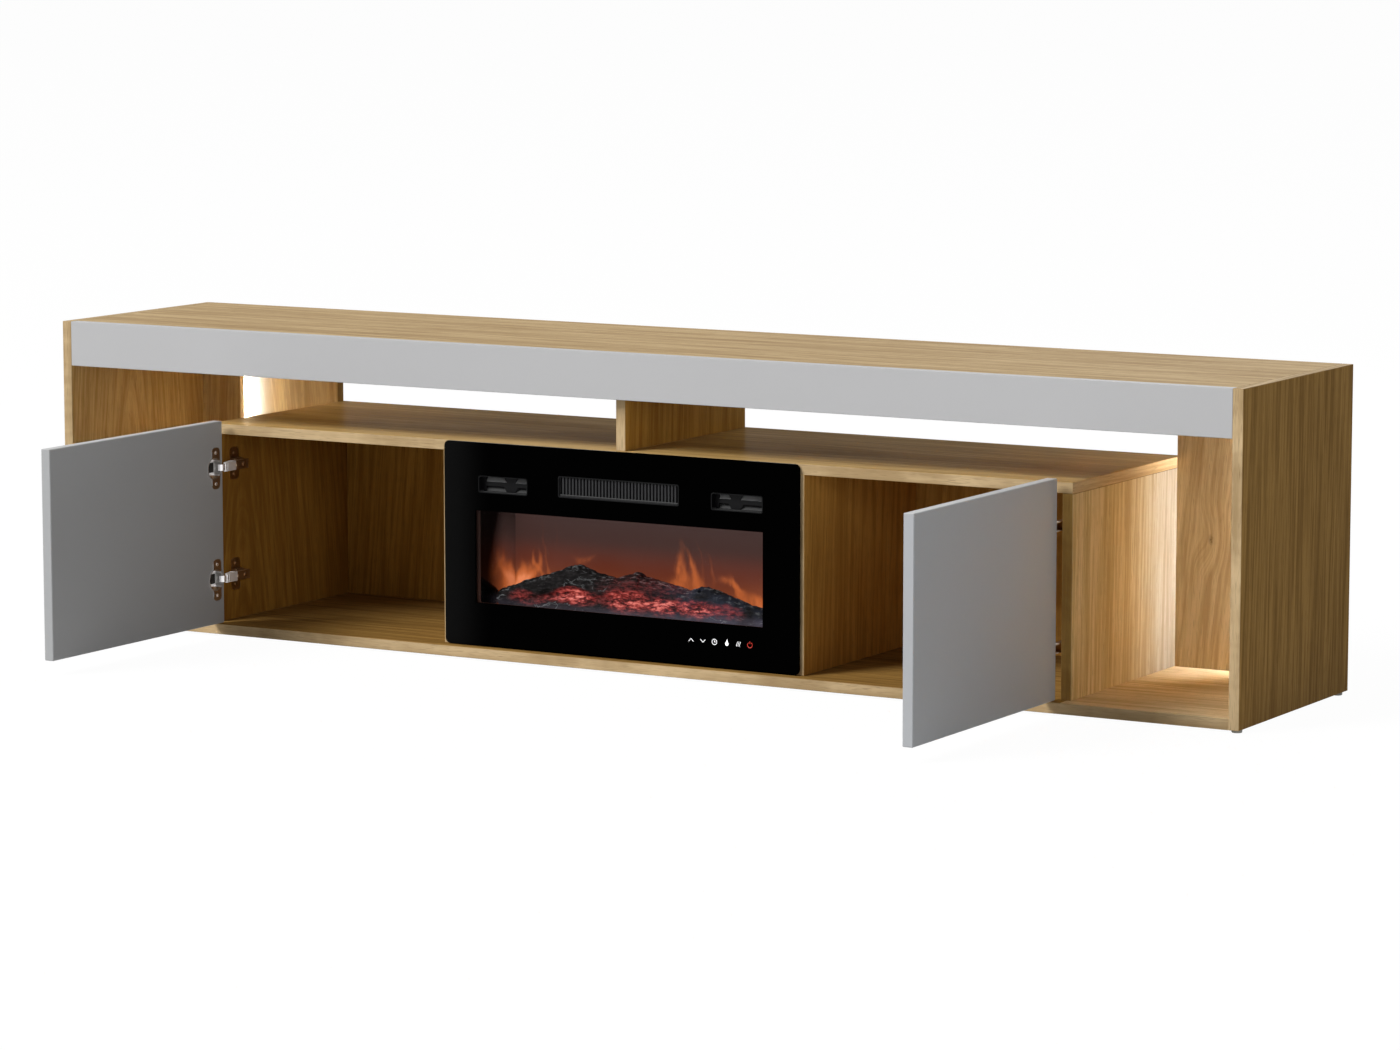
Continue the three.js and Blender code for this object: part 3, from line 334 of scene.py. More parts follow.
oakBoards = {
    # the axes along, across and through the board, tones of faces and edges, seed, then the rings:
    # where their middle lies across the board, how deep under it, and how fast they climb along it
    "top_board": ("XYZ", "open", "pale", 1.3, -0.45, 0.12, 0.03),
    "bottom_board": ("XYZ", "side", "pale", 2.1, 0.35, 0.08, 0.02),
    "shelf_board": ("XYZ", "shelf", "pale", 3.7, 0.2, 0.06, 0.03),
    "centre_divider": ("ZYX", "inner", "pale", 4.4, 0.6, 0.1, 0.05),
    "left_side_panel": ("ZYX", "open", "pale", 5.2, 0.17, 0.03, 0.1),
    "right_side_panel": ("ZYX", "side", "pale", 6.9, 0.7, 0.1, 0.04),
    "left_cabinet_side": ("ZYX", "shade", "pale", 7.5, 0.1, 0.04, 0.12),
    # its face in the niche takes painted LED light, and its front edge the painted shadow of the
    # open door
    "right_cabinet_side": ("ZYX", "lit", "brown", 8.3, 0.5, 0.1, 0.03),
    "left_partition": ("ZYX", "inner", "pale", 9.6, 0.4, 0.1, 0.04),
    "right_partition": ("ZYX", "warm", "pale", 10.2, 0.4, 0.1, 0.04),
    "left_compartment_back": ("ZXY", "inner", "pale", 11.8, -0.4, 0.05, 0.09),
    "right_compartment_back": ("ZXY", "warm", "pale", 12.4, 0.55, 0.05, 0.09),
    "left_niche_back": ("ZXY", "leftNiche", "brown", 13.9, -0.9, 0.05, 0.08),
    "right_niche_back": ("ZXY", "niche", "brown", 14.1, 0.835, 0.02, 0.10),
    "left_led_cover": ("ZXY", "leftNiche", "pale", 15.5, -0.5, 0.1, 0.05),
    "right_led_cover": ("ZXY", "niche", "brown", 16.6, 0.5, 0.1, 0.05),
}
oakKnots = {"right_niche_back": (0.210, 0.790)}  # along and across the board
oakOtherFaces = {
    # boards with another tone on one face, and the way that this face looks; the tone paints the
    # light or shade that falls on that face, such as the LED light in a niche
    "left_side_panel": ("leftNiche", "X", 1),
    "right_side_panel": ("niche", "X", -1),
    "left_cabinet_side": ("niche", "X", -1),
    "right_cabinet_side": ("inner", "X", -1),
    "left_compartment_back": ("open", "Y", 1),
    "right_compartment_back": ("open", "Y", 1),
    "left_niche_back": ("open", "Y", 1),
    "right_niche_back": ("open", "Y", 1),
}
oakOtherEnds = {
    # boards with another tone from one place to another along an axis, a painted light: the LED
    # glow on the niche floor and its sheen near the strips
    "bottom_board": ("floor", "X", 0.728, 0.729),
    "left_niche_back": ("ledSheen", "X", 0.850, 0.885),
    "right_cabinet_side": ("ledSheen", "Y", 0.18, 0.36),
}
oakPlain = (0.03, 0.62)  # specular level and roughness of a board
oakGloss = {"shelf_board": (0.0004, 0.30)}  # the same where it differs
oakGrain = {
    # how often each figure comes in a metre, along and across the board
    "stray": (1.6, 7),
    "pores": (45, 1100),
    "streaks": (5.5, 95),
    "bands": (3.2, 150),
    "broadBands": (0.7, 22),
    "wander": 0.011,  # how far the rings stray
    "shares": (0.55, 0.15, 0.3),  # of bands, broad bands and streaks in the figure
    "contrast": (0.39, 0.61),  # where the figure turns from deep to pale
    "poreFrom": (0.56, 0.7),
    "poreShade": (0.35, 0.65, 0.16, 0.42),  # from a deep to a pale streak, and how much in each
    "poreColour": (0.1, 0.055, 0.02, 1),
    "poreDepth": 2,  # times the rise of the bands
    "poreRough": 0.4,
    "paleSmooth": 0.08,
    "relief": (0.25, 0.1 * mm),  # strength and depth
    "knotReach": 0.035,
    "knotCore": 0.006,
    "knotPush": 0.016,
    "knotLength": 2,  # times its width
    "knotGrain": 400,
    "knotColour": (0.06, 0.03, 0.01, 1),
    "joint": (0.3106, 0.3118),  # where the shelf meets a cabinet side
    "jointShade": 0.6,
    "jointColour": (0.04, 0.02, 0.008, 1),
}


def makeOak(name, axesNamed, tone, edgeTone, seed, pith, depth, taper):
    gloss, roughness = oakGloss.get(name, oakPlain)
    wood = Finish("oak_" + name, Specular_IOR_Level=gloss)
    axes = dict(zip("XYZ", wood.split(wood.place())))
    facing = dict(zip("XYZ", wood.facing()))
    along, across, through = (axes[axis] for axis in axesNamed)
    isEnd = wood.ease(abs(facing[axesNamed[0]]), *straight)
    isEdge = wood.ease(abs(facing[axesNamed[1]]), *straight)
    run = along + (across - along) * isEnd + seed  # the band on an end runs across the board
    side = across + (through - across) * isEnd

    length, width = oakGrain["stray"]
    stray = wood.noise(wood.point(run * length, side * width, through * width), detail=3) - 0.5
    rings = ((side - pith) ** 2 + depth ** 2) ** 0.5 + run * taper + stray * oakGrain["wander"]
    knot = None
    if name in oakKnots:
        knotAlong, knotAcross = oakKnots[name]
        fromKnot = (((along - knotAlong) / oakGrain["knotLength"]) ** 2
                    + (across - knotAcross) ** 2) ** 0.5
        rings = rings + wood.ease(fromKnot, oakGrain["knotReach"], 0) * oakGrain["knotPush"]
        knot = (wood.ease(fromKnot, oakGrain["knotCore"], 0)
                * wood.noise(wood.place(), oakGrain["knotGrain"], 2))
    length, width = oakGrain["pores"]
    pores = wood.noise(wood.point(run * length, side * width, through * width), detail=1)
    length, width = oakGrain["streaks"]
    streaks = wood.noise(wood.point(side * width, through * width, run * length), detail=3,
                         rough=0.6)
    length, width = oakGrain["bands"]
    bands = wood.noise(wood.point(rings * width, run * length, seed), detail=4, rough=0.66)
    length, width = oakGrain["broadBands"]
    broad = wood.noise(wood.point(rings * width, run * length, seed), detail=1)
    bandShare, broadShare, streakShare = oakGrain["shares"]
    amount = wood.ease(bands * bandShare + broad * broadShare + streaks * streakShare,
                       *oakGrain["contrast"])

    # the tones mixed here paint the light and shade that each face gets
    pale, deep = oakTones[tone]
    others = []
    if name in oakOtherEnds:
        otherTone, axis, start, end = oakOtherEnds[name]
        others.append((wood.ease(abs(axes[axis]), start, end), *oakTones[otherTone]))
    if name in oakOtherFaces:
        otherTone, axis, way = oakOtherFaces[name]
        others.append((wood.ease(facing[axis] * way, *straight), *oakTones[otherTone]))
    others.append((isEnd + isEdge, *oakEdges[edgeTone]))
    for share, otherPale, otherDeep in others:
        pale, deep = wood.mix(share, pale, otherPale), wood.mix(share, deep, otherDeep)
    colour = wood.mix(amount, deep, pale)
    dashes = wood.ease(pores, *oakGrain["poreFrom"]) * wood.ease(streaks, *oakGrain["poreShade"])
    colour = wood.mix(dashes, colour, oakGrain["poreColour"])
    if knot:
        colour = wood.mix(knot, colour, oakGrain["knotColour"])
    if "cabinet_side" in name:
        joint = wood.ease(axes["Z"], *oakGrain["joint"]) * oakGrain["jointShade"]
        colour = wood.mix(joint, colour, oakGrain["jointColour"])
    wood.feed("Base Color", colour)
    wood.feed("Roughness", roughness - amount * oakGrain["paleSmooth"]
              + dashes * oakGrain["poreRough"])
    wood.bump(bands - dashes * oakGrain["poreDepth"], *oakGrain["relief"])
    dress(wood, name)


# Grey boards

greyBoards = {
    # piece, colour of its faces and of its upper and lower edges; the three are one grey, painted
    # lighter or darker for the light each gets, and the paler edges are a painted highlight
    "fascia": ("front_fascia", paint(181, 181, 182), paint(187, 187, 188)),
    "leftDoor": ("left_door", paint(170, 171, 172), paint(197, 197, 197)),
    "rightDoor": ("right_door", paint(175, 177, 180), paint(197, 197, 197)),
}
greyFilm = {
    "gloss": 0.12,
    "wear": (0.3, 0.3, 0.3, 1),
    "leastWear": 0.03,
    "cloudScale": 3,
    "cloudWear": 0.12,
    "grainScale": 900,
    "grainWear": 0.1,
    "grainRough": 0.12,
    "roughness": 0.42,
    "relief": (0.12, 0.05 * mm),
}


def makeGrey(name, node, colour, litEdgeColour):
    grey = Finish("grey_" + name, Specular_IOR_Level=greyFilm["gloss"])
    isEdge = grey.ease(abs(grey.facing()[2]), *straight)
    grain = grey.noise(grey.place(), greyFilm["grainScale"], 2)
    cloud = grey.noise(grey.place(), greyFilm["cloudScale"], 2)
    wear = (cloud - 0.5) * greyFilm["cloudWear"] + (grain - 0.5) * greyFilm["grainWear"]
    # the paler upper and lower edges are a painted highlight
    shade = grey.mix(isEdge, colour, litEdgeColour)
    grey.feed("Base Color", grey.mix(wear + greyFilm["leastWear"], shade, greyFilm["wear"]))
    grey.feed("Roughness", greyFilm["roughness"] + grain * greyFilm["grainRough"])
    grey.bump(grain, *greyFilm["relief"])
    dress(grey, node)


# Metals and plastics

metals = {
    # colour, roughness and pieces
    "galvanised": ((0.5, 0.51, 0.52, 1), 0.42, ["blower_housing", "heater_core"]),
    "fan_aluminium": ((0.72, 0.73, 0.74, 1), 0.34, ["blower_wheel", "flame_spindle"]),
    "motor_brass": ((0.6, 0.45, 0.2, 1), 0.36, ["spindle_motor"]),
    "motor_steel": ((0.3, 0.3, 0.31, 1), 0.45, ["blower_motor"]),
}
metalLook = {
    "brushing": (900, 60),  # scratches in a metre, across and along
    "brushRough": 0.2,
    "stainScale": 140,
    "stain": (0.35, 0.75, 0, 0.35),  # from where to where, and from how much to how much
    "stainShade": 0.6,
    "relief": (0.2, 0.04 * mm),
}


def makeMetal(name, colour, roughness, nodes):
    metal = Finish(name, Metallic=1.0)
    x, y, z = metal.split(metal.place())
    across, along = metalLook["brushing"]
    brushed = metal.noise(metal.point(x * across, y * across, z * along), detail=2)
    cloud = metal.noise(metal.place(), metalLook["stainScale"], 2)
    stain = metal.ease(cloud, *metalLook["stain"])
    metal.feed("Base Color", metal.mix(stain, colour, darker(colour, metalLook["stainShade"])))
    metal.feed("Roughness", roughness + (brushed - 0.5) * metalLook["brushRough"])
    metal.bump(brushed, *metalLook["relief"])
    dress(metal, *nodes)


feet = [f"{side}_{end}_foot" for side in ("left", "right") for end in ("front", "back")]
plastics = {
    # colour, roughness and pieces
    "glide_plastic": (paint(168, 166, 158), 0.6, ["middle_foot"] + feet),
    "black_plastic": (paint(26, 26, 27), 0.5, ["power_inlet"]),
    "circuit": ((0.02, 0.12, 0.05, 1), 0.45, ["flame_light_board", "touch_board"]),
}
plasticLook = {
    "gloss": 0.4,
    "grainScale": 1200,
    "grainRough": 0.25,
    "cloudScale": 35,
    "wear": (0.3, 0.7, 0, 0.3),
    "wearShade": 0.72,
    "relief": (0.3, 0.05 * mm),
}


def makePlastic(name, colour, roughness, nodes):
    plastic = Finish(name, Specular_IOR_Level=plasticLook["gloss"])
    grain = plastic.noise(plastic.place(), plasticLook["grainScale"], 3)
    cloud = plastic.noise(plastic.place(), plasticLook["cloudScale"], 2)
    worn = plastic.ease(cloud, *plasticLook["wear"])
    plastic.feed("Base Color", plastic.mix(worn, colour, darker(colour, plasticLook["wearShade"])))
    plastic.feed("Roughness", roughness + (grain - 0.5) * plasticLook["grainRough"])
    plastic.bump(grain, *plasticLook["relief"])
    dress(plastic, *nodes)


hinge = {
    "pale": (0.93, 0.92, 0.92, 1),
    "bronze": (0.42, 0.29, 0.18, 1),
    "nickel": (0.56, 0.55, 0.54, 1),
    "dark": (0.05, 0.045, 0.04, 1),
    "paleRoughness": 0.5,
    "bronzeRoughness": 0.36,
    "flangeSmooth": 0.12,  # how much smoother the flange is than the rest of the cup
    "barRough": 0.2,  # how much rougher the arm's pale bar is than its end
    "flangeMiddle": 21.7 * mm,  # from the cup's far end to the middle of its flange
    "flangeHalf": 9.6 * mm,
    # half heights of the painted shade in the cup's hollow and of the painted highlight on the rims
    # around it
    "shadedSlotHalf": 7.5 * mm,
    "litRimHalf": 12 * mm,
    "screwRise": 24 * mm,
    "screwRadius": 2.6 * mm,
    "barEnd": 27 * mm,  # from the arm's front end to where its plating turns to bronze
    "soft": 0.3 * mm,  # width of a line between two colours
    "grainScale": 700,
    "cupGrain": 0.1,
    "armGrain": 0.08,
    "relief": (0.2, 0.04 * mm),
}


def makeHinges():
    for side in ("left", "right"):
        for level in ("lower", "upper"):
            name = f"{side}_{level}_hinge_"
            makeCup(name + "cup")
            makeArm(name + "arm")
            makeMetal(name + "link", hinge["pale"], hinge["paleRoughness"], [name + "link"])
            makeMetal(name + "plate", hinge["bronze"], hinge["bronzeRoughness"], [name + "plate"])


def makeCup(node):
    metal = Finish(node, Metallic=1.0)
    y, z = metal.split(metal.place())[1:]
    low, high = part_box(node)
    grain = metal.noise(metal.place(), hinge["grainScale"], 2)
    fromFlange = y - (low.y + hinge["flangeMiddle"])
    rise = abs(z - (low.z + high.z) / 2)
    fromScrew = (fromFlange ** 2 + (rise - hinge["screwRise"]) ** 2) ** 0.5
    # the pale rims are a painted highlight on the cup's inner walls, and the dark slot a painted
    # shade in its hollow
    isFlange, isLitRim, isShadedSlot, isScrew = [
        metal.ease(reach, hinge[limit] + hinge["soft"], hinge[limit])
        for reach, limit in ((abs(fromFlange), "flangeHalf"), (rise, "litRimHalf"), (rise, "shadedSlotHalf"),
                             (fromScrew, "screwRadius"))]
    strip = metal.mix(isLitRim, hinge["bronze"], hinge["pale"])
    strip = metal.mix(isShadedSlot, strip, hinge["dark"])
    strip = metal.mix(isScrew, strip, hinge["pale"])
    metal.feed("Base Color", metal.mix(isFlange, hinge["nickel"], strip))
    metal.feed("Roughness", hinge["paleRoughness"] - isFlange * hinge["flangeSmooth"]
               + grain * hinge["cupGrain"])
    metal.bump(grain, *hinge["relief"])
    dress(metal, node)


def makeArm(node):
    metal = Finish(node, Metallic=1.0)
    y = metal.split(metal.place())[1]
    grain = metal.noise(metal.place(), hinge["grainScale"], 2)
    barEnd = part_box(node)[0].y + hinge["barEnd"]
    isBar = metal.ease(y, barEnd + hinge["soft"], barEnd)
    metal.feed("Base Color", metal.mix(isBar, hinge["bronze"], hinge["pale"]))
    metal.feed("Roughness", hinge["bronzeRoughness"] + isBar * hinge["barRough"]
               + grain * hinge["armGrain"])
    metal.bump(grain, *hinge["relief"])
    dress(metal, node)


# Fireplace front and firebox

fireGlass = {
    "windowLeft": -0.2493,
    "windowRight": 0.243,
    "windowLow": 86 * mm,
    "windowHigh": 225 * mm,
    "soft": 0.6 * mm,  # width of the window's edge
    "tint": 0.24,  # how much the clear window holds back
    "gloss": 0.004,
    "roughness": 0.06,
    "prints": ((0.0001, 0.0001, 0.0001, 1), (0.0004, 0.0004, 0.0004, 1)),
    "leftReflection": (0.005, 0.005, 0.005, 1),
    "reflectionFrom": (-0.220, -0.300),  # a painted reflection makes the black a little paler at the left end
    "cloudScale": 6,
}


def makeGlass():
    glass = Finish("black_glass", Roughness=fireGlass["roughness"],
                   Specular_IOR_Level=fireGlass["gloss"])
    x, z = glass.split(glass.place())[::2]
    soft = fireGlass["soft"]
    isWindow = (glass.within(x, fireGlass["windowLeft"], fireGlass["windowRight"], soft)
                * glass.within(z, fireGlass["windowLow"], fireGlass["windowHigh"], soft))
    cloud = glass.noise(glass.place(), fireGlass["cloudScale"], 2)
    black = glass.mix(cloud, *fireGlass["prints"])
    # painted reflection: the black turns a little paler towards the left end
    isReflection = glass.ease(x, *fireGlass["reflectionFrom"])
    glass.feed("Base Color", glass.mix(isReflection, black, fireGlass["leftReflection"]))
    glass.feed("Alpha", 1 - isWindow * (1 - fireGlass["tint"]))
    dress(glass, "fire_glass")


airMoulding = {
    "face": paint(9, 9, 10),
    "inner": paint(50, 50, 51),
    "blade": paint(62, 62, 62),
    "litUpperBlade": paint(150, 150, 150),  # painted paler, a painted light making up for the shade of the rim
    "upperRow": (0.264, 0.266),
    "innerFrom": (1.5 * mm, 1.9 * mm),  # behind the front face, where the paler inner parts start
    "upward": (0.2, 0.7),  # how far up the surface of a blade looks where it takes the paler painted top light
    "ventUpward": (0.3, 0.6),
    "gloss": 0.12,
    "roughness": 0.45,
    "grainScale": 1400,
    "grainRough": 0.3,
    "relief": (0.3, 0.04 * mm),
}


def makeAirMouldings():
    for node in ("fire_outlet_grille", "fire_left_vent", "fire_right_vent"):
        plastic = Finish(node, Specular_IOR_Level=airMoulding["gloss"])
        y, z = plastic.split(plastic.place())[1:]
        upward = plastic.facing()[2]
        grain = plastic.noise(plastic.place(), airMoulding["grainScale"], 3)
        isInner = plastic.ease(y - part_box(node)[0].y, *airMoulding["innerFrom"])
        blade = airMoulding["blade"]
        if "vent" in node:
            # in a vent only the faces that look up turn paler, a painted light on the slats
            isInner = isInner * plastic.ease(upward, *airMoulding["ventUpward"])
            isUpper = plastic.ease(z, *airMoulding["upperRow"])
            blade = plastic.mix(isUpper, blade, airMoulding["litUpperBlade"])
        isLitUpward = plastic.ease(upward, *airMoulding["upward"])
        inner = plastic.mix(isLitUpward, airMoulding["inner"], blade)
        plastic.feed("Base Color", plastic.mix(isInner, airMoulding["face"], inner))
        plastic.feed("Roughness", airMoulding["roughness"]
                     + (grain - 0.5) * airMoulding["grainRough"])
        plastic.bump(grain, *airMoulding["relief"])
        dress(plastic, node)


chamber = {
    "halfWidth": 0.2475,  # of the flame chamber, whose cheeks are polished
    "floor": 54 * mm,  # over the firebox's underside
    "roof": 217 * mm,
    "back": 0.1225,
    "soft": 1 * mm,
    "cheekSoft": 0.2 * mm,
    "cheekDarkFront": (0.100, 0.056),  # the polished cheeks turn dark towards the glass and upwards
    "cheekDarkUp": (0.130, 0.280),
    "cheekDark": (0.03, 0.03, 0.03, 1),
    "painted": ((0.006, 0.006, 0.006, 1), (0.014, 0.013, 0.012, 1)),
    "polished": ((0.72, 0.68, 0.66, 1), (0.82, 0.78, 0.76, 1)),
    "roughness": 0.36,
    "polish": 0.26,  # how much smoother the polished steel is
    "gloss": 0.3,
    "grainScale": 700,
    "grainRough": 0.08,
    "relief": (0.1, 0.02 * mm),
}


def makeSteel():
    steel = Finish("black_steel", Specular_IOR_Level=chamber["gloss"])
    x, y, z = steel.split(steel.place())
    grain = steel.noise(steel.place(), chamber["grainScale"], 2)
    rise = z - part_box("firebox")[0].z
    halfWidth, back, soft = chamber["halfWidth"], chamber["back"], chamber["soft"]
    isPolished = (steel.ease(abs(x), halfWidth, halfWidth - chamber["cheekSoft"])
                  * steel.within(rise, chamber["floor"] + soft, chamber["roof"] - soft, soft)
                  * steel.ease(y, back, back - soft))
    # the polished cheeks are darkened towards the glass and upwards
    cheekDark = steel.ease(y, *chamber["cheekDarkFront"]) + steel.ease(z, *chamber["cheekDarkUp"])
    polished = steel.mix(cheekDark, steel.mix(grain, *chamber["polished"]), chamber["cheekDark"])
    painted = steel.mix(grain, *chamber["painted"])
    steel.feed("Base Color", steel.mix(isPolished, painted, polished))
    steel.feed("Metallic", isPolished)
    steel.feed("Roughness", chamber["roughness"] - isPolished * chamber["polish"]
               + grain * chamber["grainRough"])
    steel.bump(grain, *chamber["relief"])
    dress(steel, "firebox")


frontPlate = {
    "blacks": ((0.005, 0.005, 0.005, 1), (0.010, 0.010, 0.010, 1)),
    "firelitColours": ((0.05, 0.022, 0.016, 1), (0.075, 0.030, 0.020, 1)),  # a painted firelight on the plate beside the window, over the logs and beside them
    "firelitWarm": (0.16, 0.10),  # from where to where the painted firelight turns warmer
    "firelitHalf": 0.2509,
    "firelitLow": 84 * mm,
    "firelitHigh": 227 * mm,
    "soft": 1 * mm,
    "sideSoft": 0.1 * mm,
    "gloss": 0.2,
    "roughness": 0.4,
    "grainScale": 800,
    "grainRough": 0.1,
    "relief": (0.2, 0.04 * mm),
}


def makeFrontPlate():
    plate = Finish("front_plate", Specular_IOR_Level=frontPlate["gloss"])
    x, z = plate.split(plate.place())[::2]
    grain = plate.noise(plate.place(), frontPlate["grainScale"], 2)
    half = frontPlate["firelitHalf"]
    # the strip of plate at the window's sides takes a painted firelight
    isFirelit = (plate.ease(abs(x), half + frontPlate["sideSoft"], half)
              * plate.within(z, frontPlate["firelitLow"], frontPlate["firelitHigh"], frontPlate["soft"]))
    firelit = plate.mix(plate.ease(z, *frontPlate["firelitWarm"]), *frontPlate["firelitColours"])
    plate.feed("Base Color", plate.mix(isFirelit, plate.mix(grain, *frontPlate["blacks"]), firelit))
    plate.feed("Roughness", frontPlate["roughness"] + grain * frontPlate["grainRough"])
    plate.bump(grain, *frontPlate["relief"])
    dress(plate, "fire_front_plate")


# Flames on the screen behind the logs

screen = {
    "glow": 1.35,
    "bare": (0.02, 0.012, 0.01, 1),
    "top": (0.064, 0.034, 0.030, 1),
    "middle": (0.062, 0.026, 0.021, 1),
    "low": (0.138, 0.026, 0.011, 1),
    "foot": (0.34, 0.080, 0.024, 1),
    "flame": (0.60, 0.140, 0.034, 1),
    "heart": (1.0, 0.30, 0.12, 1),
    "shade": (0.003, 0.001, 0.001, 1),
    # from where to where each comes in, and with four numbers, then from how much to how much
    "middleUp": (0.225, 0.18),
    "lowUp": (0.185, 0.14),
    "shadeEnd": (-0.2475, -0.205, 0.25, 0),
    "footUp": (0.150, 0.095),
    "footEnds": (0.12, 0.23, 0.45, 1),
    "footMiddle": -0.005,
    "flameHeat": (0.0, 0.62),
    "heartHeat": (0.5, 1.25),
    "driftOften": (22, 12),  # in a metre, across and up
    "curlOften": (60, 26),
    "drift": 0.030,
    "curlAcross": 0.012,
    "curlUp": 0.014,
    "curlSeed": 7,
    "streaks": (0.25, 0.65, 0.45, 1.15),
    # a flame's width at its foot and how much of it is lost towards the tip, then its soft edges
    "flameWidth": 1.04,
    "flameTaper": 0.8,
    "flameSide": (1.25, 0.0),
    "flameTip": (1.1, 0.4),
    "flameFoot": (-0.45, 0.15),
}
flames = [
    # foot and tip across and up, sideways bulge, half width, all in millimetres, then heat
    {"foot": (-228, 84), "tip": (-208, 146), "bulge": 4, "half": 30, "heat": 0.85},
    {"foot": (-232, 96), "tip": (-222, 150), "bulge": 6, "half": 11, "heat": 0.5},
    {"foot": (-210, 118), "tip": (-196, 168), "bulge": 14, "half": 10, "heat": 0.4},
    {"foot": (-184, 118), "tip": (-200, 166), "bulge": -9, "half": 9, "heat": 0.42},
    {"foot": (-172, 120), "tip": (-178, 170), "bulge": -5, "half": 5, "heat": 0.24},
    {"foot": (-180, 160), "tip": (-182, 218), "bulge": -2, "half": 3, "heat": 0.10},
    {"foot": (-160, 170), "tip": (-158, 212), "bulge": 2, "half": 3, "heat": 0.08},
    {"foot": (-124, 148), "tip": (-86, 164), "bulge": 5, "half": 9, "heat": 0.22},
    {"foot": (40, 118), "tip": (57, 196), "bulge": 5, "half": 15, "heat": 0.42},
    {"foot": (84, 116), "tip": (57, 190), "bulge": 4, "half": 13, "heat": 0.45},
    {"foot": (60, 112), "tip": (58, 158), "bulge": 0, "half": 26, "heat": 0.40},
    {"foot": (92, 140), "tip": (74, 204), "bulge": 7, "half": 4, "heat": 0.13},
    {"foot": (108, 128), "tip": (92, 186), "bulge": 8, "half": 5, "heat": 0.15},
    {"foot": (128, 138), "tip": (166, 118), "bulge": -5, "half": 10, "heat": 0.30},
    {"foot": (158, 112), "tip": (136, 152), "bulge": 4, "half": 12, "heat": 0.26},
    {"foot": (176, 92), "tip": (150, 132), "bulge": 2, "half": 26, "heat": 0.34},
    {"foot": (206, 78), "tip": (176, 122), "bulge": 2, "half": 30, "heat": 0.95},
]


def makeFlame(finish, x, z, foot, tip, bulge, half, heat):  # one lick of flame, widest at its foot
    foot, tip = Vector(foot) * mm, Vector(tip) * mm
    way = (tip - foot).normalized()
    run = ((x - foot.x) * way.x + (z - foot.y) * way.y) / (tip - foot).length
    side = (x - foot.x) * way.y - (z - foot.y) * way.x
    arch = run * (1 - run) * 4 * bulge * mm  # all of the bulge at the middle
    width = (screen["flameWidth"] - run * screen["flameTaper"]) * half * mm
    body = finish.ease(abs(side - arch) / width, *screen["flameSide"])
    body = body * finish.ease(run, *screen["flameTip"]) * finish.ease(run, *screen["flameFoot"])
    return body * heat


def makeScreen():
    finish = Finish("flame_screen", Roughness=0.45, Base_Color=screen["bare"],
                    Emission_Strength=screen["glow"])
    x, z = finish.split(finish.place())[::2]
    across, up = screen["driftOften"]
    drift = finish.noise(finish.point(x * across, 0.0, z * up), detail=3) - 0.5
    across, up = screen["curlOften"]
    curl = finish.noise(finish.point(x * across + screen["curlSeed"], 0.0, z * up), detail=3,
                        rough=0.6)
    bentX = x + drift * screen["drift"] + (curl - 0.5) * screen["curlAcross"]
    bentZ = z + (curl - 0.5) * screen["curlUp"]
    blaze = sum(makeFlame(finish, bentX, bentZ, **flame) for flame in flames)
    blaze = blaze * finish.ease(curl, *screen["streaks"])
    footGlow = finish.ease(z, *screen["footUp"])
    footGlow = footGlow * finish.ease(abs(x - screen["footMiddle"]), *screen["footEnds"])
    colour = screen["top"]
    for share, name in ((finish.ease(z, *screen["middleUp"]), "middle"),
                        (finish.ease(z, *screen["lowUp"]), "low"),
                        (finish.ease(x, *screen["shadeEnd"]), "shade"),
                        (footGlow, "foot"),
                        (finish.ease(blaze, *screen["flameHeat"]), "flame"),
                        (finish.ease(blaze, *screen["heartHeat"]), "heart")):
        colour = finish.mix(share, colour, screen[name])
    finish.feed("Emission Color", colour)
    dress(finish, "flame_screen")


# Charred logs on a heap of embers, moulded as one piece

pile = {
    "logs": [
        # start, end and the two radii, in millimetres
        ((-232, 78, 84), (-90, 76, 130), (19, 21)),
        ((-106, 78, 128), (-34, 80, 111), (24, 22)),
        ((-72, 70, 103), (22, 79, 127), (17, 22)),
        ((-8, 80, 121), (106, 82, 102), (24, 21)),
        ((84, 80, 100), (124, 82, 113), (18, 22)),
        ((112, 82, 113), (228, 85, 84), (22, 18)),
        ((2, 66, 98), (98, 67, 94), (14, 14)),
        ((-176, 65, 84), (-60, 66, 90), (10, 13)),
        ((108, 66, 90), (190, 68, 82), (14, 10)),
    ],
    "logSides": 28,
    "squeeze": 0.3,  # share of its length at which a log gets its bark, which is then drawn out
    # size and depth of each roughness, the level that stays in place, and the detail
    "bark": (6 * mm, 5 * mm, 0.5, 2),
    "lumps": (11 * mm, 5 * mm, 0.6, 2),
    "crags": (15 * mm, 5 * mm, 0.5, 4),
    "chips": (3.2 * mm, 1.8 * mm, 0.5, 3),
    "softenings": 10,
    "softening": 0.5,
    "voxel": 1.5 * mm,
    "heapHalf": (228 * mm, 27 * mm, 34 * mm),
    "heapMiddle": (0, 74 * mm, 78 * mm),
    "heapSplits": 6,
    "sideRoom": 230 * mm,
}


def roughen(piece, name, basis):
    size, depth, level, detail = pile[name]
    texture = bpy.data.textures.get(name) or bpy.data.textures.new(name, "CLOUDS")
    texture.noise_scale = size
    texture.noise_basis = basis
    texture.noise_depth = detail
    modify(piece, "DISPLACE", texture=texture, strength=depth, mid_level=level,
           texture_coords="LOCAL")


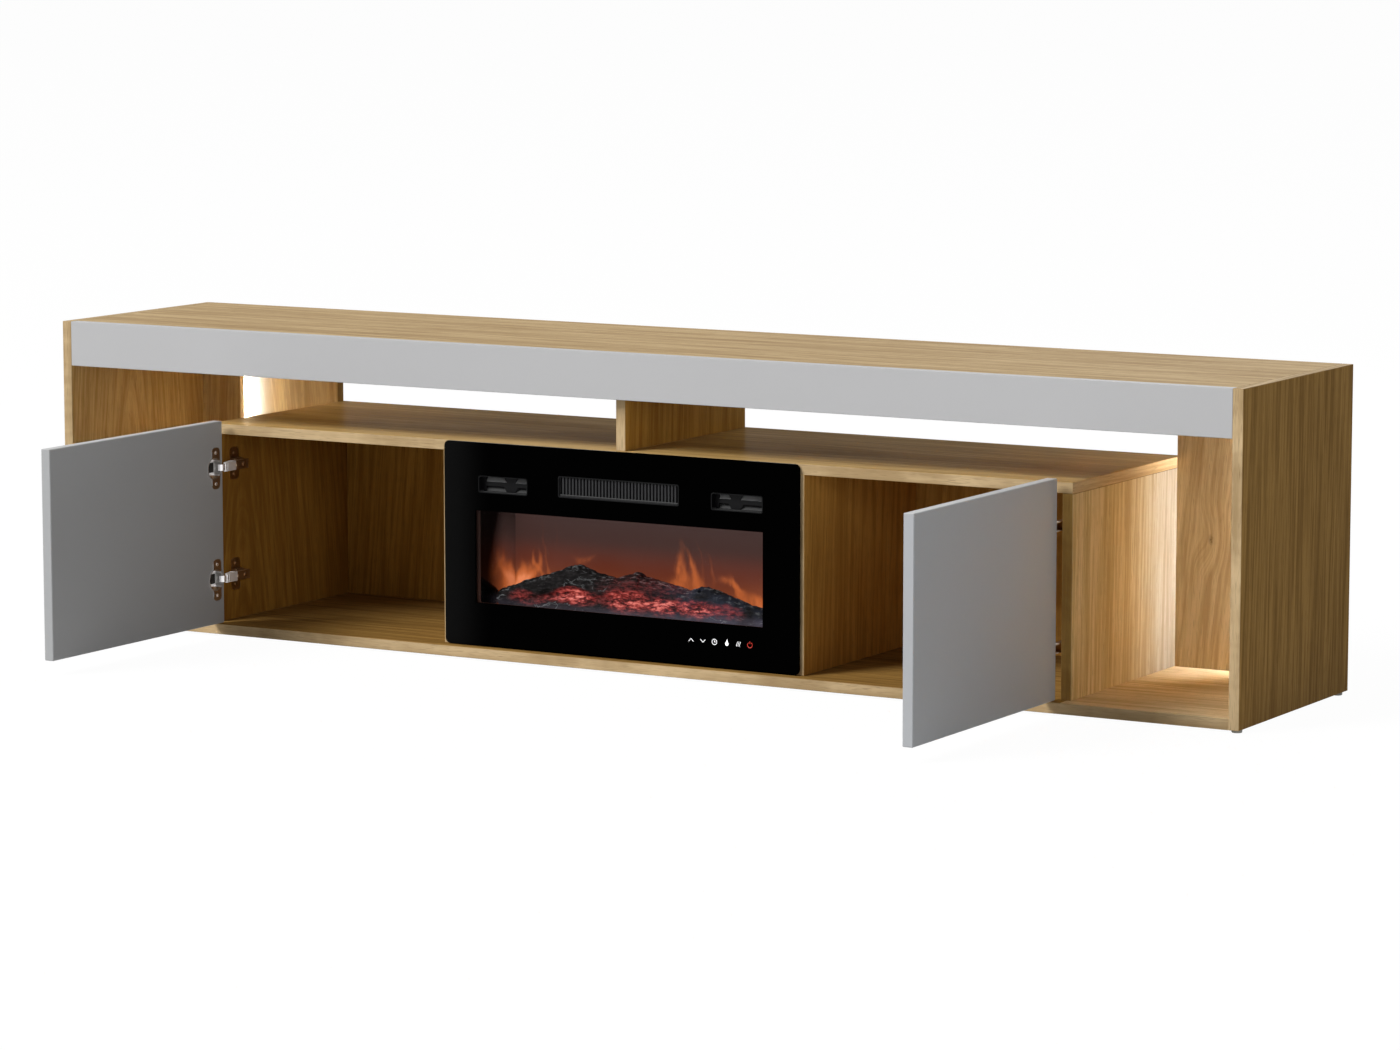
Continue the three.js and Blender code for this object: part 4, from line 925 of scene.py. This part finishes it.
def makeLog(index, start, end, radii):
    start, end = Vector(start) * mm, Vector(end) * mm
    way = end - start
    deselectAll()
    bpy.ops.mesh.primitive_cylinder_add(vertices=pile["logSides"], radius=radii[0] * mm,
                                        depth=way.length * pile["squeeze"])
    log = added(f"log_{index}")
    bpy.ops.object.mode_set(mode="EDIT")
    bpy.ops.mesh.select_all(action="DESELECT")
    bpy.ops.object.mode_set(mode="OBJECT")
    for face in log.data.polygons:
        face.select = face.normal.z > straight[1]
    bpy.ops.object.mode_set(mode="EDIT")
    bpy.ops.transform.resize(value=(radii[1] / radii[0],) * 2 + (1,))
    bpy.ops.object.mode_set(mode="OBJECT")
    modify(log, "REMESH", mode="VOXEL", voxel_size=pile["voxel"])
    log.data.transform(Matrix.Translation((0, 0, index)))  # so that no two logs get the same bark
    roughen(log, "bark", "VORONOI_F2_F1")
    log.data.transform(Matrix.Translation((0, 0, -index)))
    log.scale = (1, 1, 1 / pile["squeeze"])
    log.rotation_euler = way.to_track_quat("Z", "Y").to_euler()
    log.location = (start + end) / 2
    settle(log)
    return log


def makePile():
    logs = [makeLog(index, *log) for index, log in enumerate(pile["logs"])]
    deselectAll()
    bpy.ops.mesh.primitive_ico_sphere_add(subdivisions=pile["heapSplits"], radius=1,
                                          location=pile["heapMiddle"], scale=pile["heapHalf"])
    heap = added("heap")
    settle(heap)
    roughen(heap, "lumps", "VORONOI_F1")
    whole = joinPieces("charred_logs", [heap] + logs)
    modify(whole, "REMESH", mode="VOXEL", voxel_size=pile["voxel"])
    modify(whole, "SMOOTH", factor=pile["softening"], iterations=pile["softenings"])
    roughen(whole, "crags", "BLENDER_ORIGINAL")
    roughen(whole, "chips", "BLENDER_ORIGINAL")
    bpy.ops.object.mode_set(mode="EDIT")
    cuts = [((0, 0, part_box("log_bed")[0].z), (0, 0, -1)),
            ((-pile["sideRoom"], 0, 0), (-1, 0, 0)),
            ((pile["sideRoom"], 0, 0), (1, 0, 0))]
    for place, way in cuts:
        bpy.ops.mesh.select_all(action="SELECT")
        bpy.ops.mesh.bisect(plane_co=place, plane_no=way, clear_outer=True, use_fill=True)
    bpy.ops.object.mode_set(mode="OBJECT")
    bpy.ops.object.shade_smooth()
    return whole


char = {
    "blackPaint": (0.012, 0.010, 0.010, 1),
    "dustPaint": (0.060, 0.054, 0.054, 1),
    # a painted bluish light on the right-hand logs
    "coolLitColour": (0.060, 0.070, 0.105, 1),
    "ashPaint": (0.55, 0.57, 0.58, 1),
    "noGlow": (0, 0, 0, 1),
    "deepGlow": (0.105, 0.010, 0.009, 1),
    "glow": (0.40, 0.045, 0.038, 1),
    "paleGlow": (0.98, 0.23, 0.18, 1),
    # a painted light of the lamps falling through the window on the lower right of the heap
    "windowLight": (0.095, 0.080, 0.105, 1),
    "strength": 1.3,
    "spots": [
        # middle across and up, half width and height in millimetres, heat
        (-168, 96, 46, 13, 0.55),
        (-90, 102, 52, 14, 0.95),
        (2, 101, 46, 20, 0.72),
        (70, 100, 38, 14, 1.15),
        (122, 100, 34, 15, 1.05),
        (170, 97, 32, 13, 0.5),
        (25, 118, 92, 34, 0.28),
    ],
    "spotEdge": (1.2, 0.0),
    "stray": 0.024,  # how far the spots follow the patches up and down
    # how often each figure comes in a metre, along the axes
    "patches": (22, 30, 38),
    "grain": (80, 160, 260),
    "cracks": (36, 80, 84),
    "crackWarp": (1.6, 0.9),  # by the patches and by the grain
    # from where to where each comes in, and with four numbers, then from how much to how much
    "crack": (0.045, 0.0),
    "dust": (0.4, 0.75),
    "coolLit": (0.02, 0.11),
    "coolLitPatches": (0.3, 0.6, 0, 0.85),
    "ashPatches": (0.52, 0.64, 0, 0.6),
    "ashEmbers": (0.30, 0.12),
    "ashUp": (0.55, 0.95),
    "ashGrain": (0.52, 0.66, 0, 0.45),
    "coals": (0.36, 0.60, 0.2, 1.05),
    "crackHeat": (0.0, 0.12, 0.65, 1),
    "grainHeat": (0.34, 0.56, 0.3, 1.05),
    "deepGlowHeat": (0.0, 0.35),
    "glowHeat": (0.2, 0.8),
    "paleGlowHeat": (0.34, 0.66),
    "windowLightUp": (0.098, 0.084),
    "windowLightAcross": (-0.16, 0.06, 0.35, 0.9),
    "windowLightLeast": 0.3,
    "windowLightPatches": 0.8,
    "relief": (0.5, 1.2 * mm),
}


def makeChar():
    finish = Finish("charred_logs", Roughness=0.8, Specular_IOR_Level=0.25,
                    Emission_Strength=char["strength"])
    x, y, z = finish.split(finish.place())
    across, deep, up = char["patches"]
    patches = finish.noise(finish.point(x * across, y * deep, z * up), detail=3, rough=0.6)
    across, deep, up = char["grain"]
    grain = finish.noise(finish.point(x * across, y * deep, z * up), detail=4, rough=0.66)
    across, deep, up = char["cracks"]
    byPatches, byGrain = char["crackWarp"]
    warped = finish.point(x * across + patches * byPatches, y * deep, z * up + grain * byGrain)
    edge = finish.cells(warped, 1.0, "DISTANCE_TO_EDGE")
    waved = z - (patches - 0.5) * char["stray"]
    embers = 0.0
    for across, up, halfWidth, halfHeight, heat in char["spots"]:
        run, rise = (x - across * mm) / (halfWidth * mm), (waved - up * mm) / (halfHeight * mm)
        embers = finish.ease(run * run + rise * rise, *char["spotEdge"]) * heat + embers

    black = finish.mix(finish.ease(grain, *char["dust"]), char["blackPaint"], char["dustPaint"])
    # painted bluish light on the right-hand logs, in patches
    coolLit = finish.ease(x, *char["coolLit"]) * finish.ease(patches, *char["coolLitPatches"])
    ash = finish.ease(edge, *char["crack"]) * finish.ease(patches, *char["ashPatches"])
    ash = ash * finish.ease(embers, *char["ashEmbers"])
    # the faces that look up are paler, partly ash and partly a painted highlight from above
    isLitTop = finish.ease(finish.facing()[2], *char["ashUp"])
    ash = ash + isLitTop * finish.ease(grain, *char["ashGrain"])
    colour = finish.mix(coolLit, black, char["coolLitColour"])
    finish.feed("Base Color", finish.mix(ash, colour, char["ashPaint"]))

    heat = embers * finish.ease(patches * 0.5 + grain * 0.5, *char["coals"])
    heat = heat * finish.ease(edge, *char["crackHeat"]) * finish.ease(grain, *char["grainHeat"])
    # painted light of the lamps through the window, as a glow on the lower right of the heap
    windowLight = finish.ease(z, *char["windowLightUp"]) * finish.ease(x, *char["windowLightAcross"])
    windowLight = windowLight * (patches * char["windowLightPatches"] + char["windowLightLeast"])
    colour = char["noGlow"]
    for share, name in ((finish.ease(heat, *char["deepGlowHeat"]), "deepGlow"),
                        (finish.ease(heat, *char["glowHeat"]), "glow"),
                        (finish.ease(heat * grain, *char["paleGlowHeat"]), "paleGlow"),
                        (windowLight, "windowLight")):
        colour = finish.mix(share, colour, char[name])
    finish.feed("Emission Color", colour)
    finish.bump(grain + edge, *char["relief"])
    return finish


# Touch symbols on the glass

touch = {
    "places": {"up": 123.7 * mm, "down": 143.6 * mm, "clock": 163.0 * mm, "flame": 183.8 * mm,
               "heat": 203.6 * mm, "power": 222.3 * mm},
    "height": 59 * mm,
    "depth": 0.4 * mm,
    "sunk": 0.15 * mm,
    "stroke": 0.85 * mm,
    "reach": 4.0 * mm,
    # strokes: middle across and up and length, as shares of the reach, then turn in degrees
    "upArrow": [(-0.5, 0, 1.5, -45), (0.5, 0, 1.5, 45)],
    "downArrow": [(-0.5, 0, 1.5, 45), (0.5, 0, 1.5, -45)],
    "clockHands": [(0, 0.3, 0.7, 90), (0.25, 0, 0.6, 0)],
    "powerBar": [(0, 0.85, 0.9, 90)],
    "clockRing": (0, 360),  # where the ring starts and how far it turns, in degrees
    "powerRing": (35, 290),
    # shares of the reach
    "flameBelly": 0.72,
    "flameDrop": 0.3,
    "flameRise": 1.0,
    "flamePoint": 0.2,  # of the width that its top had
    "flameLean": 0.15,
    "waveLength": 0.9,
    "waveGap": 0.62,
    # shares of the stroke
    "strokeBevel": 0.2,
    "waveWidth": 0.42,
    "waveTurn": -80,  # degrees
    "speckScale": 900,
}
signPaints = {
    # glow, then the dim and bright colour of the glow and of the paint itself
    "sign_white": (0.85, (0.75, 0.77, 0.80, 1), (1, 1, 1, 1),
                   (0.6, 0.6, 0.6, 1), (0.8, 0.8, 0.8, 1)),
    "sign_red": (0.4, (0.55, 0.03, 0.02, 1), (0.95, 0.06, 0.03, 1),
                 (0.4, 0.02, 0.01, 1), (0.6, 0.04, 0.02, 1)),
}


def makeSignPaint(name):
    glow, dimGlow, brightGlow, dimPaint, brightPaint = signPaints[name]
    coat = Finish(name, Roughness=0.4, Emission_Strength=glow)
    speck = coat.noise(coat.place(), touch["speckScale"], 2)
    coat.feed("Emission Color", coat.mix(speck, dimGlow, brightGlow))
    coat.feed("Base Color", coat.mix(speck, dimPaint, brightPaint))
    return coat


def makeStrokes(x, strokes):
    made = []
    for across, up, length, turn in strokes:
        deselectAll()
        bpy.ops.mesh.primitive_cube_add(
            size=1, location=(x + across * touch["reach"], 0, up * touch["reach"]),
            rotation=(0, math.radians(turn), 0),
            scale=(length * touch["reach"], touch["depth"], touch["stroke"]))
        stroke = added("stroke")
        settle(stroke)
        modify(stroke, "BEVEL", width=touch["stroke"] * touch["strokeBevel"], segments=2)
        made.append(stroke)
    return made


def makeRing(x, turnFrom, turn):
    deselectAll()
    start = math.radians(turnFrom)
    centre = Vector((x, 0, 0))
    rim = centre + Vector((math.sin(start), 0, math.cos(start))) * touch["reach"]
    bpy.ops.mesh.primitive_circle_add(vertices=8, radius=touch["stroke"] / 2, fill_type="NGON",
                                      location=rim, rotation=(0, start, 0))
    ring = added("ring")
    settle(ring)
    bpy.ops.object.mode_set(mode="EDIT")
    bpy.ops.mesh.select_all(action="SELECT")
    bpy.ops.transform.rotate(value=math.pi / 2, orient_axis="Y", center_override=rim)
    bpy.ops.mesh.spin(steps=24, angle=-math.radians(turn), center=centre, axis=(0, 1, 0))
    bpy.ops.mesh.select_all(action="SELECT")
    bpy.ops.mesh.remove_doubles(threshold=0.01 * mm)
    bpy.ops.mesh.normals_make_consistent(inside=False)
    bpy.ops.object.mode_set(mode="OBJECT")
    return ring


def makeFlameSign(x):  # a disc whose top is drawn out to a point
    reach = touch["reach"]
    deselectAll()
    bpy.ops.mesh.primitive_cylinder_add(
        vertices=20, radius=reach * touch["flameBelly"], depth=touch["depth"],
        location=(x, 0, -reach * touch["flameDrop"]), rotation=(math.pi / 2, 0, 0))
    sign = added("flame_sign")
    settle(sign)
    top = max(vertex.co.z for vertex in sign.data.vertices)
    bpy.ops.object.mode_set(mode="EDIT")
    bpy.ops.mesh.select_mode(type="VERT")
    bpy.ops.mesh.select_all(action="DESELECT")
    bpy.ops.object.mode_set(mode="OBJECT")
    for vertex in sign.data.vertices:
        vertex.select = vertex.co.z > top - touch["stroke"] / 2
    bpy.ops.object.mode_set(mode="EDIT")
    bpy.ops.transform.resize(value=(touch["flamePoint"], 1, 1), center_override=(x, 0, 0))
    bpy.ops.transform.translate(value=(reach * touch["flameLean"], 0, reach * touch["flameRise"]))
    bpy.ops.object.mode_set(mode="OBJECT")
    return sign


def makeWaves(x):
    reach = touch["reach"]
    waves = []
    for side in (-1, 0, 1):
        deselectAll()
        bpy.ops.curve.primitive_bezier_curve_add(
            radius=reach * touch["waveLength"],
            location=(x + side * reach * touch["waveGap"], 0, 0),
            rotation=(math.pi / 2, math.radians(touch["waveTurn"]), 0))
        wave = added("wave")
        wave.data.bevel_depth = touch["stroke"] * touch["waveWidth"]
        wave.data.resolution_u = 8
        wave.data.use_fill_caps = True
        bpy.ops.object.convert(target="MESH")
        settle(wave)
        waves.append(wave)
    return waves


def makeSign(name, strokes, finish):
    sign = joinPieces(name, strokes)
    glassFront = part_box("fire_glass")[0].y
    sign.location = (0, glassFront - touch["depth"] / 2 + touch["sunk"], touch["height"])
    settle(sign)
    mount(sign, finish, "carcass")


def makeSigns():
    at = touch["places"]
    white, red = makeSignPaint("sign_white"), makeSignPaint("sign_red")
    makeSign("sign_up", makeStrokes(at["up"], touch["upArrow"]), white)
    makeSign("sign_down", makeStrokes(at["down"], touch["downArrow"]), white)
    clock = [makeRing(at["clock"], *touch["clockRing"])]
    clock += makeStrokes(at["clock"], touch["clockHands"])
    makeSign("sign_clock", clock, white)
    makeSign("sign_flame", [makeFlameSign(at["flame"])], white)
    makeSign("sign_heat", makeWaves(at["heat"]), white)
    power = [makeRing(at["power"], *touch["powerRing"])]
    power += makeStrokes(at["power"], touch["powerBar"])
    makeSign("sign_power", power, red)


# Light strips in the niches

lightStrip = {
    "strength": 155,
    "dotsPerMetre": 60,
    "dotEdge": (0.5, 0.1),  # from a dot's middle, as shares of the pitch
    "glows": ((0.97, 0.97, 0.97, 1), (0.98, 0.99, 1.0, 1)),  # between the dots and on them
    "paints": ((0.8, 0.78, 0.72, 1), (0.9, 0.88, 0.82, 1)),
}


def makeStrips():
    strip = Finish("led_lens", Roughness=0.5, Emission_Strength=lightStrip["strength"])
    count = strip.split(strip.place())[2] * lightStrip["dotsPerMetre"]
    isDot = strip.ease(abs(count - count.math("ROUND", count)), *lightStrip["dotEdge"])
    strip.feed("Emission Color", strip.mix(isDot, *lightStrip["glows"]))
    strip.feed("Base Color", strip.mix(isDot, *lightStrip["paints"]))
    dress(strip, "left_led_strip", "right_led_strip")


makeCamera()
makeStudio()
print("camera and studio ready")
for boardName, boardValues in oakBoards.items():
    makeOak(boardName, *boardValues)
for greyName, greyValues in greyBoards.items():
    makeGrey(greyName, *greyValues)
print("boards finished")
makeHinges()
for metalName, metalValues in metals.items():
    makeMetal(metalName, *metalValues)
for plasticName, plasticValues in plastics.items():
    makePlastic(plasticName, *plasticValues)
print("metals and plastics finished")
makeGlass()
makeSteel()
makeFrontPlate()
makeAirMouldings()
makeScreen()
makeStrips()
charredLogs = makePile()
mount(charredLogs, makeChar(), "carcass")
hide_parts("log_bed")
print("logs modelled with", len(charredLogs.data.polygons), "faces")
makeSigns()
print("fireplace finished")
